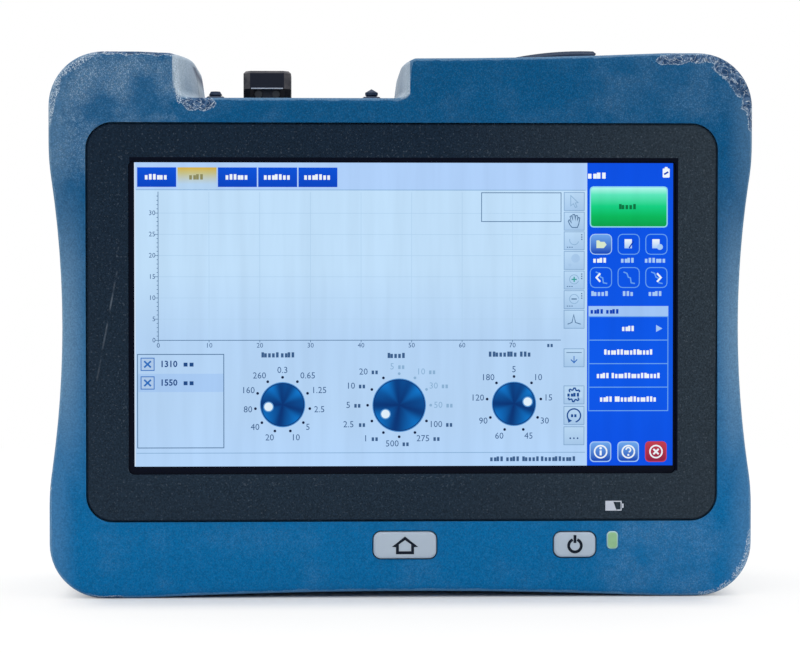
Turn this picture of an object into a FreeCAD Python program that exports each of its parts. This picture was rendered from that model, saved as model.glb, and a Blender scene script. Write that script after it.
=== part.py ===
import FreeCAD, Part
import math
import os

# Optical time domain reflectometer, hand-held, with a 7-inch touch screen.
# Millimetres. It stands on its bottom edge: +Z up, the screen faces -Y, +X is to the
# right of someone who looks at the screen. Origin: bottom centre of the whole box.

V = FreeCAD.Vector
X, Y, Z = V(1, 0, 0), V(0, 1, 0), V(0, 0, 1)

# ---------------------------------------------------------------- driving dimensions
# housing
overall_depth = 68.0
side_band = 10.55          # case beside, over and under the bezel
brow_height = 20.35
chin_height = 21.95
corner_radius = 15.5
flank_dip = 3.5            # how far the sides curve in at the waist
flank_straight = 10.0      # straight run from the corner to that curve
flank_ease = 80.0          # radius that leads into the curve
end_dip = 1.7              # the same three for the top and bottom edges
end_straight = 8.5
end_ease = 60.0
wall = 2.6
front_wall = 4.0
front_depth = 24.0         # front face to the seam between the shells
seam_gap = 0.8
seam_inset = 0.6
front_round = 2.0
rear_round = 7.0
cheek_width = 7.2          # thumb scoops beside the screen, at the waist
cheek_ends = 25.5          # from the scoops to the top and bottom edges
cheek_slope = 0.42         # depth lost per millimetre towards the side
cheek_round = 1.5
cheek_reach = 20.0         # depth of the cone that cuts them
bumper_proud = 4.0
button_proud = 0.8
running_gap = 0.3          # around everything that is lifted, pressed or pulled
seat_gap = 0.1             # around what is fixed in a pocket
pin_fit = 0.01             # around a pin that is fixed
past = 1.0                 # how far a cutting shape runs past a face

# port bay across the top
bay_left = -58.4
bay_right = -1.0
bay_flare_left = 5.0        # how far each wall opens out towards the front
bay_flare_right = 2.4
bay_draft = 1.6             # how far each wall leans out over its height
bay_depth = 13.0
bay_round = 3.0
bay_floor_wall = 4.0

# screen stack
window_width = 155.9
window_height = 89.1
window_x = 0.35
window_radius = 1.6
bezel_border = 11.5        # bezel beside the window
bezel_over = 10.5
bezel_under = 13.1
bezel_x = 0.25
bezel_radius = 7.3
bezel_thickness = 2.4
bezel_sunk = 0.2
bezel_edge = 0.5
ledge_width = 5.4
ledge_radius = 3.0
facet_width = 3.5
facet_drop = 1.3
touch_margin = 3.6
touch_thickness = 1.2
touch_radius = 1.5
lcd_margin = 4.4
lcd_radius = 1.0
lcd_thickness = 5.6
lcd_step = 0.8             # glass set in from the frame
bracket_thickness = 1.2
bracket_standoff = 3.4
board_thickness = 1.6
board_width = 144.0
board_up = 7.5             # over the bottom of the bezel
board_down = 17.0          # under its top
board_hole_inset = 8.0
bracket_lap = 3.0          # bracket past the bezel
bracket_web = 14.0         # between its two windows
bracket_rim = 22.0         # round them
post_half = 2.6
shield_height = 3.0
shield_size = 28.8
shield_margin = 8.64       # from the board's middle and top
shield_pitch = 31.68
mount_boss_radius = 2.8
boss_out = 0.5             # bosses past the bezel's edge
boss_up = 4.0
boss_down = 8.0

# front buttons and light
home_x = 0.8
home_width = 17.9
home_height = 7.6
power_x = 49.2
power_width = 11.9
power_height = 7.1
button_z = 15.0
button_radius = 2.1
button_travel = 0.6
flange_margin = 1.3
flange_thickness = 1.0
stem_half = 1.5
stem_gap = 0.1
button_edge = 0.7
keypad_rise = 1.6          # switch tops to the keypad board
keypad_half = 5.0
keypad_end = 8.5
switch_half = 3.0
switch_height = 1.0
light_x = 60.0
light_z = 16.2
light_width = 3.3
light_height = 5.2
light_proud = 0.2
light_edge = 0.3
light_radius = 1.0
light_flange = 0.8
guide_half = 1.2
lamp_height = 0.8

# optical ports on the bay floor
port_setback = 10.2        # seam to the middle of the ports
plate_thickness = 1.6
plate_edge = 0.9           # bay wall to the plate
plate_ledge = 2.4
plate_side_ledge = 0.4     # on the left, beside the power meter port
plate_front_gap = 1.2      # seam to the plate
plate_screw_radius = 0.9
plate_screw_inset = 1.4
plate_depth = 22.0
screw_from_otdr = 16.0
screw_from_laser = 6.0
plate_head_height = 0.8
plate_screw_reach = 1.5    # into the shell
otdr_x = -38.9
adapter_width = 11.4
adapter_depth = 10.0
adapter_height = 8.2       # above the bay floor
adapter_below = 9.0
mouth_width = 9.0
mouth_depth = 7.4
mouth_sunk = 8.0
sleeve_radius = 2.0
sleeve_bore = 1.25
sleeve_height = 2.6        # above the bottom of the mouth
ferrule_depth = 6.0
key_width = 3.2
key_depth = 0.8
ear_drop = 3.4
ear_inset = 0.2
cap_axis_drop = 1.2        # top of the adaptor to the cap's pin
adapter_lip = 1.0
adapter_head_radius = 1.1
adapter_head_height = 0.7
adapter_head_x = 2.6
adapter_head_z = 3.2       # above the bay floor
cap_wall = 1.1
cap_gap = 0.2
cap_skirt_gap = 1.2        # bay floor to the cap's rim
cap_height = 10.0          # above the bay floor
cap_bevel = 2.0
cap_edge = 0.7
cap_inner_bevel = 1.395
cap_back_gap = 0.1
cap_arm_drop = 1.0
cap_front_gap = 1.2        # screw heads to the cap
notch_width = 8.0
notch_height = 4.9         # above the bay floor
cap_pin_radius = 0.6
knuckle_radius = 1.5
knuckle_width = 4.6
hinge_fit = 0.05
meter_x = -54.4
laser_x = -8.0
collar_radius = 2.0
collar_height = 2.0
collar_bore = 1.25
collar_lip = 0.6
collar_stop = 1.0          # bottom of the port's body to its bore
plug_radius = 2.9
plug_gap = 0.3
plug_height = 2.9
plug_edge = 0.5
plug_tip = 1.1
knob_neck = 0.7            # share of the knob's radius at its two ends
meter_knob_radius = 2.0
meter_cap_height = 4.35
laser_knob_radius = 1.9
laser_cap_height = 5.25

# top right block: sockets under a raised rubber door, and the stylus
usb_x = 35.0
usb_pitch = 11.0
usb_count = 2
usb_setback = 13.8         # seam to the middle of the sockets
usb_thick = 5.7
usb_long = 13.1
usb_tall = 13.0
usb_wall = 0.35
usb_tongue = 1.8
usb_end = 2.0              # closed end of the socket
tongue_inset = 1.0
tongue_sunk = 0.8
io_board_margin = 8.0
io_board_half = 10.0
door_x0 = 22.2
door_x1 = 58.7
door_depth = 19.0
door_rise = 4.2            # free end above the case
door_floor = 5.0           # pocket floor below the case height
door_lift = 0.4            # door above the pocket floor
door_edge = 1.0
door_swell = 1.5
door_grip = 1.8
door_pin_radius = 0.7
door_pin_reach = 1.6       # pin into each side of the pocket
door_axis_drop = 1.4
door_hinge_gap = 0.6
pocket_wall = 3.0
stylus_x = 66.0
stylus_setback = 18.2
stylus_radius = 3.0
stylus_length = 96.0
stylus_head_radius = 4.0
stylus_head_sunk = 3.0
stylus_head_height = 4.2
stylus_cone = 12.0
stylus_edge = 0.8
well_wall = 1.8
well_end = 2.5             # below the tip
well_gap = 0.5
well_rib = 1.0

# right flank: network and power inlets behind a rubber cover
side_setback = 18.2
side_z0 = 24.0
side_z1 = 56.0
side_depth = 20.0
side_floor = 6.5           # pocket floor in from the case width
lan_z = 33.0
lan_width = 16.0
lan_tall = 13.4
lan_long = 18.0
lan_mouth_width = 11.8
lan_mouth_tall = 8.4
lan_mouth_long = 13.0
lan_mouth_up = 1.6
lan_latch_up = 1.2
lan_latch_half = 3.2
contact_count = 8
contact_pitch = 1.02
contact_half = 0.25
contact_height = 0.6
contact_length = 5.0
inlet_z = 49.0
inlet_size = 9.0
inlet_long = 14.0
inlet_radius = 2.9
inlet_pin = 1.0
inlet_deep = 9.5
inlet_pin_sunk = 1.0
side_board_reach = 2.0
side_board_gap = 4.5
side_board_over = 1.0
finger_radius = 3.0        # thumb notch of the side cover
finger_length = 12.0
finger_out = 1.0
finger_in = 2.5

# back: battery, its cover, the stand, the bumpers and the case screws
battery_width = 100.0
battery_height = 52.0
battery_depth = 18.0
battery_z = 61.0
battery_round = 2.5
tub_wall = 1.8
tub_gap = 0.4
cover_margin = 5.0
cover_wall = 2.4
cover_corner = 4.0
cover_gap = 0.2
cover_rim = 2.0            # shell round the cover's pocket
ledge_depth = 2.4
cover_head_depth = 1.0
cover_head_proud = 0.1
cover_head_gap = 0.2
grip_count = 5
grip_pitch = 4.0
grip_width = 44.0
grip_depth = 0.8
stand_width = 142.0
stand_length = 74.0
stand_pivot_z = 103.0
stand_arm = 7.0
stand_bar = 9.0
stand_thickness = 3.6
stand_foot_height = 1.8
stand_foot_width = 38.0
stand_corner = 6.0
stand_shoulder = 7.0       # square part below the eyes
stand_window_corner = 4.0
stand_grip_width = 26.0
stand_grip_height = 6.0
stand_grip_corner = 2.9
stand_grip_up = 1.2
stand_foot_x = 42.6
stand_pin_radius = 0.9
stand_ear_width = 6.0
stand_ear_height = 8.0
bumper_size = 15.0
bumper_corner = 4.0
bumper_edge = 1.2
bumper_inset_x = 16.0
bumper_inset_z = 20.0
case_screw_inset_x = 27.0
case_screw_inset_z = 13.0
case_screw_boss = 3.2
case_screw_seat = 4.0      # where the heads sit, along Y
case_screw_reach = 10.0    # past the seam
case_screw_tip = 0.5

# inside
optics_x0 = -59.5
optics_width = 58.0
optics_gap = 9.8           # battery tub to the optics block
optics_standoff = 5.6      # main board to the optics block
optics_depth = 26.0
optics_rim = 3.0
optics_lid = 1.2
speaker_x = 44.0
speaker_down = 35.0
speaker_radius = 11.0
speaker_depth = 5.0
magnet_reach = 8.0
magnet_half = 5.5
slot_count = 5
slot_pitch = 3.6
slot_width = 1.4
slot_length = 14.0
screw_radius = 1.5
screw_head = 2.6
screw_head_height = 1.6

# ---------------------------------------------------------------- derived sizes and planes
bezel_width = window_width + 2 * bezel_border
bezel_height = bezel_under + window_height + bezel_over
bezel_z = chin_height + bezel_height / 2
window_z = chin_height + bezel_under + window_height / 2
case_width = bezel_width + 2 * side_band
case_height = chin_height + bezel_height + brow_height
flank_reach = case_height / 2 - corner_radius - flank_straight
end_reach = case_width / 2 - corner_radius - end_straight
cheek_half_height = case_height / 2 - cheek_ends
front_y = -overall_depth / 2 + button_proud
back_y = overall_depth / 2 - bumper_proud
seam_y = front_y + front_depth
bay_floor = case_height - bay_depth
middle_z = case_height / 2
wall_back_y = front_y + front_wall
bezel_front = front_y + bezel_sunk
bezel_back = bezel_front + bezel_thickness
touch_back = bezel_back + touch_thickness
lcd_back = touch_back + lcd_thickness
bracket_back = lcd_back + bracket_thickness
board_front = bracket_back + bracket_standoff
board_back = board_front + board_thickness
port_y = seam_y + port_setback
usb_y = seam_y + usb_setback
stylus_y = seam_y + stylus_setback
side_y = seam_y + side_setback
bumper_x = case_width / 2 - bumper_inset_x
bumper_zs = (bumper_inset_z, case_height - bumper_inset_z)
case_screw_x = case_width / 2 - case_screw_inset_x
speaker_z = case_height - speaker_down
optics_y0 = board_back + optics_standoff
optics_z0 = battery_z + battery_height / 2 + tub_gap + tub_wall + optics_gap


# ---------------------------------------------------------------- small shapes
def block(x0, x1, y0, y1, z0, z1):
    return Part.makeBox(x1 - x0, y1 - y0, z1 - z0, V(x0, y0, z0))


def rod(centre, axis, radius, length):
    return Part.makeCylinder(radius, length, centre, axis)


def post(x, z, y0, y1, half):
    """A square post along Y."""
    return block(x - half, x + half, y0, y1, z - half, z + half)


def rounded_wire(cx, cz, width, height, radius, y):
    """A rectangle with round corners in the plane y."""
    w, h, k = width / 2, height / 2, radius * math.sqrt(0.5)
    edges = []
    for sx, sz in ((1, 1), (-1, 1), (-1, -1), (1, -1)):
        corner = V(cx + sx * (w - radius), y, cz + sz * (h - radius))
        start, end = corner + V(sx * radius, 0, 0), corner + V(0, 0, sz * radius)
        if sx * sz < 0:
            start, end = end, start
        edges.append(Part.Arc(start, corner + V(sx * k, 0, sz * k), end).toShape())
    sides = [Part.makeLine(edges[i].Vertexes[-1].Point, edges[(i + 1) % 4].Vertexes[0].Point)
             for i in range(4)]
    return Part.Wire([edge for pair in zip(edges, sides) for edge in pair])


def rounded_plate(cx, cz, width, height, radius, y0, y1):
    face = Part.Face(rounded_wire(cx, cz, width, height, radius, y0))
    return face.extrude(V(0, y1 - y0, 0))


def edges_on_y(shape, y):
    return [e for e in shape.Edges if e.BoundBox.YLength < 1e-4 and abs(e.BoundBox.YMin - y) < 1e-4]


def edges_on_z(shape, z):
    return [e for e in shape.Edges if e.BoundBox.ZLength < 1e-4 and abs(e.BoundBox.ZMin - z) < 1e-4]


def mirrored(shape):
    return shape.mirror(V(0, 0, 0), X)


def group(shapes):
    return Part.makeCompound(shapes)


# ---------------------------------------------------------------- housing
def bowed_run(corner, along, inward, length, dip, reach, ease):
    """A side that is straight at its ends and curves in between them."""
    def at(a, b):
        return corner + along * a + inward * b
    middle = length / 2
    bow = (reach ** 2 + dip ** 2) / (2 * dip)
    share = ease / bow
    turn = math.asin(reach / bow)
    start = middle - reach
    join_a, join_b = start + reach * share, dip * share
    ease_a, ease_b = start + ease * math.sin(turn / 2), ease * (1 - math.cos(turn / 2))
    return [Part.makeLine(at(0, 0), at(start, 0)),
            Part.Arc(at(start, 0), at(ease_a, ease_b), at(join_a, join_b)).toShape(),
            Part.Arc(at(join_a, join_b), at(middle, dip), at(length - join_a, join_b)).toShape(),
            Part.Arc(at(length - join_a, join_b), at(length - ease_a, ease_b),
                     at(length - start, 0)).toShape(),
            Part.makeLine(at(length - start, 0), at(length, 0))]


def case_prism(inset, y0, y1):
    """The waisted outline of the case, drawn in by an inset, from y0 to y1."""
    w, bottom, top = case_width / 2 - inset, inset, case_height - inset
    r = corner_radius - inset
    k = r * math.sqrt(0.5)
    flank = (top - bottom - 2 * r, flank_dip, flank_reach, flank_ease - inset)
    end = (2 * (w - r), end_dip, end_reach, end_ease - inset)

    def corner(cx, cz, p, q):
        return Part.Arc(V(cx, y0, cz) + p * r, V(cx, y0, cz) + (p + q) * k,
                        V(cx, y0, cz) + q * r).toShape()
    edges = bowed_run(V(-w + r, y0, bottom), X, Z, *end)
    edges.append(corner(w - r, bottom + r, -Z, X))
    edges += bowed_run(V(w, y0, bottom + r), Z, -X, *flank)
    edges.append(corner(w - r, top - r, X, Z))
    edges += bowed_run(V(w - r, y0, top), -X, -Z, *end)
    edges.append(corner(-w + r, top - r, Z, -X))
    edges += bowed_run(V(-w, y0, top - r), -Z, X, *flank)
    edges.append(corner(-w + r, bottom + r, -X, -Z))
    return Part.Face(Part.Wire(edges)).extrude(V(0, y1 - y0, 0))


def flared_side(x, flare, z):
    """One wall of the bay in plan: straight behind the seam, then an arc that opens out."""
    reach = seam_y - front_y
    bow = (reach ** 2 + flare ** 2) / (2 * abs(flare)) * math.copysign(1, flare)
    turn = math.asin(reach / abs(bow))
    lip = V(x - bow * (1 - math.cos(turn)), front_y, z)
    half = V(x - bow * (1 - math.cos(turn / 2)), seam_y - abs(bow) * math.sin(turn / 2), z)
    joint = V(x, seam_y, z)
    ahead = V(lip.x - math.copysign(2 * math.tan(turn), flare), front_y - 2, z)
    return [Part.makeLine(ahead, lip), Part.Arc(lip, half, joint).toShape(),
            Part.makeLine(joint, V(x, back_y + 2, z))]


def bay_tool(grow, floor, floor_round):
    """The trough across the top: its walls flare towards the front and lean outwards."""
    top = case_height + 5
    lean = bay_draft * (top - floor) / bay_depth
    wires = []
    for z, out in ((floor, grow), (top, grow + lean)):
        left = flared_side(bay_left - out, bay_flare_left, z)
        right = flared_side(bay_right + out, -bay_flare_right, z)
        rear = Part.makeLine(left[-1].Vertexes[-1].Point, right[-1].Vertexes[-1].Point)
        front = Part.makeLine(right[0].Vertexes[0].Point, left[0].Vertexes[0].Point)
        wires.append(Part.Wire(Part.__sortEdges__(left + [rear] + right + [front])))
    tool = Part.makeLoft(wires, True, True)
    if floor_round:
        long_edges = [e for e in edges_on_z(tool, floor) if e.BoundBox.YLength > e.BoundBox.XLength]
        tool = tool.makeFillet(floor_round, long_edges)
    return tool


def cheek_scoop():
    """A wide cone that bevels the front beside the screen, most at the waist."""
    edge_x = case_width / 2 - flank_dip - cheek_width
    gap = case_width / 2 - edge_x
    radius = (cheek_half_height ** 2 + gap ** 2) / (2 * gap)
    centre = V(edge_x + radius, front_y - past, middle_z)
    return Part.makeCone(radius + past / cheek_slope, radius - (cheek_reach - past) / cheek_slope,
                         cheek_reach, centre, Y)


def make_outer():
    """The closed outside form of both shells together."""
    outer = case_prism(0, front_y, back_y)
    outer = outer.makeFillet(rear_round, edges_on_y(outer, back_y))
    outer = outer.cut(bay_tool(0, bay_floor, bay_round))
    mouth_x0 = bay_left - bay_flare_left - bay_draft - past
    mouth_x1 = bay_right + bay_flare_right + bay_draft
    brim = edges_on_y(outer, front_y)
    for edge in outer.Edges:
        box = edge.BoundBox
        over_floor = box.ZMin > bay_floor - 0.01 and box.YLength > 1.5
        if over_floor and mouth_x0 < edge.CenterOfMass.x < mouth_x1:
            brim.append(edge)
    outer = outer.makeFillet(front_round, brim)
    scoop = cheek_scoop()
    outer = outer.cut([scoop, mirrored(scoop)])
    cones = [face for face in outer.Faces if isinstance(face.Surface, Part.Cone)]
    return outer.makeFillet(cheek_round, [edge for face in cones for edge in face.Edges])


def make_cavity():
    """The hollow inside, one wall in from the outside and clear of the bay."""
    cavity = case_prism(wall, wall_back_y, back_y - wall)
    cavity = cavity.makeChamfer(rear_round - wall, edges_on_y(cavity, back_y - wall))
    return cavity.cut(bay_tool(wall, bay_floor - bay_floor_wall, 0))


def seam_slice(shape, y0, y1):
    far = case_width
    return shape.common(block(-far, far, y0, y1, -far, far))


def top_surface_z(x):
    """Height of the bowed top edge at x."""
    bow = (end_reach ** 2 + end_dip ** 2) / (2 * end_dip)
    return case_height - end_dip + x ** 2 / (2 * bow)


# ---------------------------------------------------------------- front shell and screen
def window_frustum():
    """The sloping facet round the window, as the solid that it removes."""
    front = rounded_wire(window_x, window_z, window_width + 2 * facet_width,
                         window_height + 2 * facet_width, window_radius + facet_width, bezel_front)
    rear = rounded_wire(window_x, window_z, window_width, window_height, window_radius,
                        bezel_front + facet_drop)
    return Part.makeLoft([front, rear], True, True)


def make_bezel():
    bezel = rounded_plate(bezel_x, bezel_z, bezel_width, bezel_height, bezel_radius,
                          bezel_front, bezel_back)
    bezel = bezel.makeChamfer(bezel_edge, edges_on_y(bezel, bezel_front))
    window = rounded_plate(window_x, window_z, window_width, window_height, window_radius,
                           bezel_front, bezel_back)
    return bezel.cut([window_frustum(), window])


def button_parts(cx, width, height):
    """A key with its flange behind the front wall and a stem towards its switch."""
    key = rounded_plate(cx, button_z, width, height, button_radius, front_y - button_proud, wall_back_y)
    key = key.makeChamfer(button_edge, edges_on_y(key, front_y - button_proud))
    w, h = width / 2 + flange_margin, height / 2 + flange_margin
    flange = block(cx - w, cx + w, wall_back_y, wall_back_y + flange_thickness,
                   button_z - h, button_z + h)
    stem_end = keypad_front - switch_height - button_travel - stem_gap
    return key.fuse([flange, post(cx, button_z, wall_back_y, stem_end, stem_half)]).removeSplitter()


keypad_front = wall_back_y + flange_thickness + button_travel + switch_height + keypad_rise
keypad_x0 = home_x - home_width / 2 - keypad_end
keypad_x1 = light_x + light_width
keypad_bosses = (keypad_x0 + mount_boss_radius, (home_x + power_x) / 2)


def make_keypad_board():
    board = block(keypad_x0, keypad_x1, keypad_front, keypad_front + board_thickness,
                  button_z - keypad_half, button_z + keypad_half)
    parts = [post(cx, button_z, keypad_front - switch_height, keypad_front, switch_half)
             for cx in (home_x, power_x)]
    parts.append(post(light_x, light_z, keypad_front - lamp_height, keypad_front, guide_half))
    return board.fuse(parts)


def make_light_pipe():
    front = front_y - light_proud
    lens = rounded_plate(light_x, light_z, light_width, light_height, light_radius, front, wall_back_y)
    lens = lens.makeChamfer(light_edge, edges_on_y(lens, front))
    w, h = light_width / 2 + light_flange, light_height / 2 + light_flange
    flange = block(light_x - w, light_x + w, wall_back_y, wall_back_y + flange_thickness,
                   light_z - h, light_z + h)
    guide = post(light_x, light_z, wall_back_y, keypad_front - lamp_height - stem_gap, guide_half)
    return lens.fuse([flange, guide]).removeSplitter()


ledge_open_width = bezel_width - 2 * ledge_width
ledge_open_height = bezel_height - 2 * ledge_width
boss_x = bezel_width / 2 - mount_boss_radius + boss_out
boss_zs = (bezel_z - bezel_height / 2 + boss_up, bezel_z + bezel_height / 2 - boss_down)


def make_front_shell(outer, cavity):
    shell = seam_slice(outer, front_y - past, seam_y - seam_gap / 2).cut(cavity)
    recess = rounded_plate(bezel_x, bezel_z, bezel_width + 2 * running_gap,
                           bezel_height + 2 * running_gap, bezel_radius + running_gap,
                           front_y - past, bezel_back)
    opening = rounded_plate(bezel_x, bezel_z, ledge_open_width, ledge_open_height, ledge_radius,
                            front_y, wall_back_y)
    cuts = [recess, opening]
    for cx, width, height in ((home_x, home_width, home_height), (power_x, power_width, power_height)):
        cuts.append(rounded_plate(cx, button_z, width + 2 * running_gap, height + 2 * running_gap,
                                  button_radius + running_gap, front_y - past, wall_back_y))
    cuts.append(rounded_plate(light_x, light_z, light_width, light_height, light_radius,
                              front_y - past, wall_back_y))
    bosses = [post(bezel_x + s * boss_x, z, wall_back_y, lcd_back, mount_boss_radius)
              for s in (-1, 1) for z in boss_zs]
    bosses += [post(bx, button_z, wall_back_y, keypad_front, mount_boss_radius) for bx in keypad_bosses]
    return shell.cut(cuts).fuse(bosses)


def make_touch_panel():
    return rounded_plate(window_x, window_z, window_width + 2 * touch_margin,
                         window_height + 2 * touch_margin, touch_radius, bezel_back, touch_back)


def make_lcd_module():
    width, height = window_width + 2 * lcd_margin, window_height + 2 * lcd_margin
    back = rounded_plate(window_x, window_z, width, height, lcd_radius, touch_back + lcd_step, lcd_back)
    glass = block(window_x - width / 2 + lcd_step, window_x + width / 2 - lcd_step,
                  touch_back, touch_back + lcd_step, window_z - height / 2 + lcd_step,
                  window_z + height / 2 - lcd_step)
    return back.fuse(glass)


board_z0 = chin_height + board_up
board_z1 = case_height - brow_height - board_down
standoffs = [(sx * (board_width / 2 - board_hole_inset), z) for sx in (-1, 1)
             for z in (board_z0 + board_hole_inset, board_z1 - board_hole_inset)]


def make_lcd_bracket():
    """Pressed steel frame: it clamps the display and carries the main board."""
    x0, x1 = bezel_x - bezel_width / 2 - bracket_lap, bezel_x + bezel_width / 2 + bracket_lap
    z0, z1 = boss_zs[0] - bracket_lap, boss_zs[1] + bracket_lap
    plate = block(x0, x1, lcd_back, bracket_back, z0, z1)
    cuts = [block(x0 + bracket_rim, bezel_x - bracket_web / 2, lcd_back, bracket_back,
                  z0 + bracket_rim, z1 - bracket_rim),
            block(bezel_x + bracket_web / 2, x1 - bracket_rim, lcd_back, bracket_back,
                  z0 + bracket_rim, z1 - bracket_rim)]
    posts = [post(px, pz, bracket_back, board_front, post_half) for px, pz in standoffs]
    return plate.cut(cuts).fuse(posts)


def make_main_board():
    """The processor board, with two screening cans on its back."""
    board = block(-board_width / 2, board_width / 2, board_front, board_back, board_z0, board_z1)
    z1 = board_z1 - shield_margin
    cans = [block(x, x + shield_size, board_back, board_back + shield_height, z1 - shield_size, z1)
            for x in (shield_margin, shield_margin + shield_pitch)]
    return board.fuse(cans)


# ---------------------------------------------------------------- optical ports
plate_x0 = bay_left + plate_edge
plate_x1 = bay_right - plate_edge
plate_y0 = seam_y + plate_front_gap
plate_y1 = plate_y0 + plate_depth
plate_z0 = bay_floor - plate_thickness
plate_screws = [(otdr_x + screw_from_otdr, plate_y0 + plate_screw_inset),
                (laser_x - screw_from_laser, plate_y1 - plate_screw_inset)]
module_top = bay_floor - adapter_below


def make_port_plate():
    plate = block(plate_x0, plate_x1, plate_y0, plate_y1, plate_z0, bay_floor)
    w, d = adapter_width / 2, adapter_depth / 2
    cuts = [block(otdr_x - w, otdr_x + w, port_y - d, port_y + d, plate_z0, bay_floor)]
    cuts += [rod(V(cx, port_y, plate_z0), Z, collar_radius, plate_thickness)
             for cx in (meter_x, laser_x)]
    cuts += [rod(V(px, py, plate_z0), Z, plate_screw_radius, plate_thickness) for px, py in plate_screws]
    return plate.cut(cuts)


def make_plate_screws():
    length = plate_thickness + plate_screw_reach
    return group([rod(V(px, py, bay_floor), Z, plate_screw_inset, plate_head_height).fuse(
        rod(V(px, py, bay_floor - length), Z, plate_screw_radius - hinge_fit, length))
        for px, py in plate_screws])


adapter_top = bay_floor + adapter_height
cap_axis_y = port_y + adapter_depth / 2 + knuckle_radius + running_gap
cap_axis_z = adapter_top - cap_axis_drop
mouth_floor = adapter_top - mouth_sunk
ferrule_stop = mouth_floor + sleeve_height - ferrule_depth


def make_adapter():
    """Frame of the square push-pull adaptor, with two ears for the dust cap."""
    w, d = adapter_width / 2, adapter_depth / 2
    body = block(otdr_x - w, otdr_x + w, port_y - d, port_y + d, module_top, adapter_top)
    collar = block(otdr_x - w - adapter_lip, otdr_x + w + adapter_lip, port_y - d - adapter_lip,
                   port_y + d + adapter_lip, plate_z0 - 2 * adapter_lip, plate_z0)
    ears = []
    for side in (-1, 1):
        a = otdr_x + side * (knuckle_width / 2 + cap_gap)
        b = otdr_x + side * (w - ear_inset)
        x0, x1 = min(a, b), max(a, b)
        ears.append(rod(V(x0, cap_axis_y, cap_axis_z), X, knuckle_radius, x1 - x0))
        ears.append(block(x0, x1, port_y + d, cap_axis_y, cap_axis_z - ear_drop, cap_axis_z))
    mouth = block(otdr_x - mouth_width / 2, otdr_x + mouth_width / 2,
                  port_y - mouth_depth / 2, port_y + mouth_depth / 2, module_top, adapter_top)
    key_slot = block(otdr_x - key_width / 2, otdr_x + key_width / 2,
                     port_y - mouth_depth / 2 - key_depth, port_y, mouth_floor + key_depth, adapter_top)
    pin_hole = rod(V(otdr_x - w, cap_axis_y, cap_axis_z), X, cap_pin_radius + pin_fit, adapter_width)
    return body.fuse([collar] + ears).cut([mouth, key_slot, pin_hole])


def make_ferrule_holder():
    """Block at the bottom of the adaptor's mouth, with the sleeve that a 2.5 mm ferrule enters."""
    holder = block(otdr_x - mouth_width / 2, otdr_x + mouth_width / 2,
                   port_y - mouth_depth / 2, port_y + mouth_depth / 2, module_top, mouth_floor)
    sleeve = rod(V(otdr_x, port_y, module_top), Z, sleeve_radius,
                 mouth_floor + sleeve_height - module_top)
    bore = rod(V(otdr_x, port_y, ferrule_stop), Z, sleeve_bore, adapter_top - ferrule_stop)
    return holder.fuse(sleeve).cut(bore)


def make_adapter_screws():
    d = adapter_depth / 2
    return group([rod(V(otdr_x + s * adapter_head_x, port_y - d, bay_floor + adapter_head_z), -Y,
                      adapter_head_radius, adapter_head_height) for s in (-1, 1)])


def make_dust_cap():
    """A hollow square cap with bevelled front corners and a thumb notch."""
    w = adapter_width / 2 + cap_gap + cap_wall
    y0 = port_y - adapter_depth / 2 - cap_front_gap - cap_wall
    y1 = port_y + adapter_depth / 2 + cap_back_gap
    z0, z1 = bay_floor + cap_skirt_gap, bay_floor + cap_height
    body = block(otdr_x - w, otdr_x + w, y0, y1, z0, z1)
    upright = [e for e in body.Edges if e.BoundBox.ZLength > 5 and abs(e.CenterOfMass.y - y0) < 0.01]
    body = body.makeChamfer(cap_bevel, upright)
    body = body.makeChamfer(cap_edge, edges_on_z(body, z1))
    inner = block(otdr_x - w + cap_wall, otdr_x + w - cap_wall, y0 + cap_wall, y1 - cap_wall,
                  z0, z1 - cap_wall)
    corner = [e for e in inner.Edges if e.BoundBox.ZLength > 5 and abs(e.CenterOfMass.y - y0) < 2]
    inner = inner.makeChamfer(cap_inner_bevel, corner)
    rear = block(otdr_x - w + cap_wall, otdr_x + w - cap_wall, y1 - cap_wall - past, y1 + past,
                 z0 - past, adapter_top + seat_gap)
    notch = block(otdr_x - notch_width / 2, otdr_x + notch_width / 2, y0 - past, y0 + cap_wall + past,
                  z0 - past, bay_floor + notch_height)
    arm = block(otdr_x - knuckle_width / 2, otdr_x + knuckle_width / 2, y1 - cap_back_gap, cap_axis_y,
                cap_axis_z, z1 - cap_arm_drop)
    knuckle = rod(V(otdr_x - knuckle_width / 2, cap_axis_y, cap_axis_z), X, knuckle_radius,
                  knuckle_width)
    pin_hole = rod(V(otdr_x - w, cap_axis_y, cap_axis_z), X, cap_pin_radius + hinge_fit, 2 * w)
    return body.cut([inner, rear, notch]).fuse([arm, knuckle]).cut(pin_hole)


def make_dust_cap_pin():
    half = adapter_width / 2 - ear_inset
    return rod(V(otdr_x - half, cap_axis_y, cap_axis_z), X, cap_pin_radius, 2 * half)


def make_ferrule_port(cx):
    """A round 2.5 mm ferrule port: a collar above the plate and a flanged body under it."""
    body = rod(V(cx, port_y, module_top), Z, collar_radius, bay_floor + collar_height - module_top)
    half = collar_radius + collar_lip
    flange = block(cx - half, cx + half, port_y - half, port_y + half, plate_z0 - collar_lip, plate_z0)
    bore = rod(V(cx, port_y, module_top + collar_stop), Z, collar_bore,
               bay_floor + collar_height - module_top)
    return body.fuse(flange).cut(bore)


def revolved(cx, cy, points):
    """A turned solid from (radius, height) points, about a vertical axis."""
    wire = Part.makePolygon([V(cx + r, cy, z) for r, z in points + points[:1]])
    return Part.Face(wire).revolve(V(cx, cy, 0), Z, 360)


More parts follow.
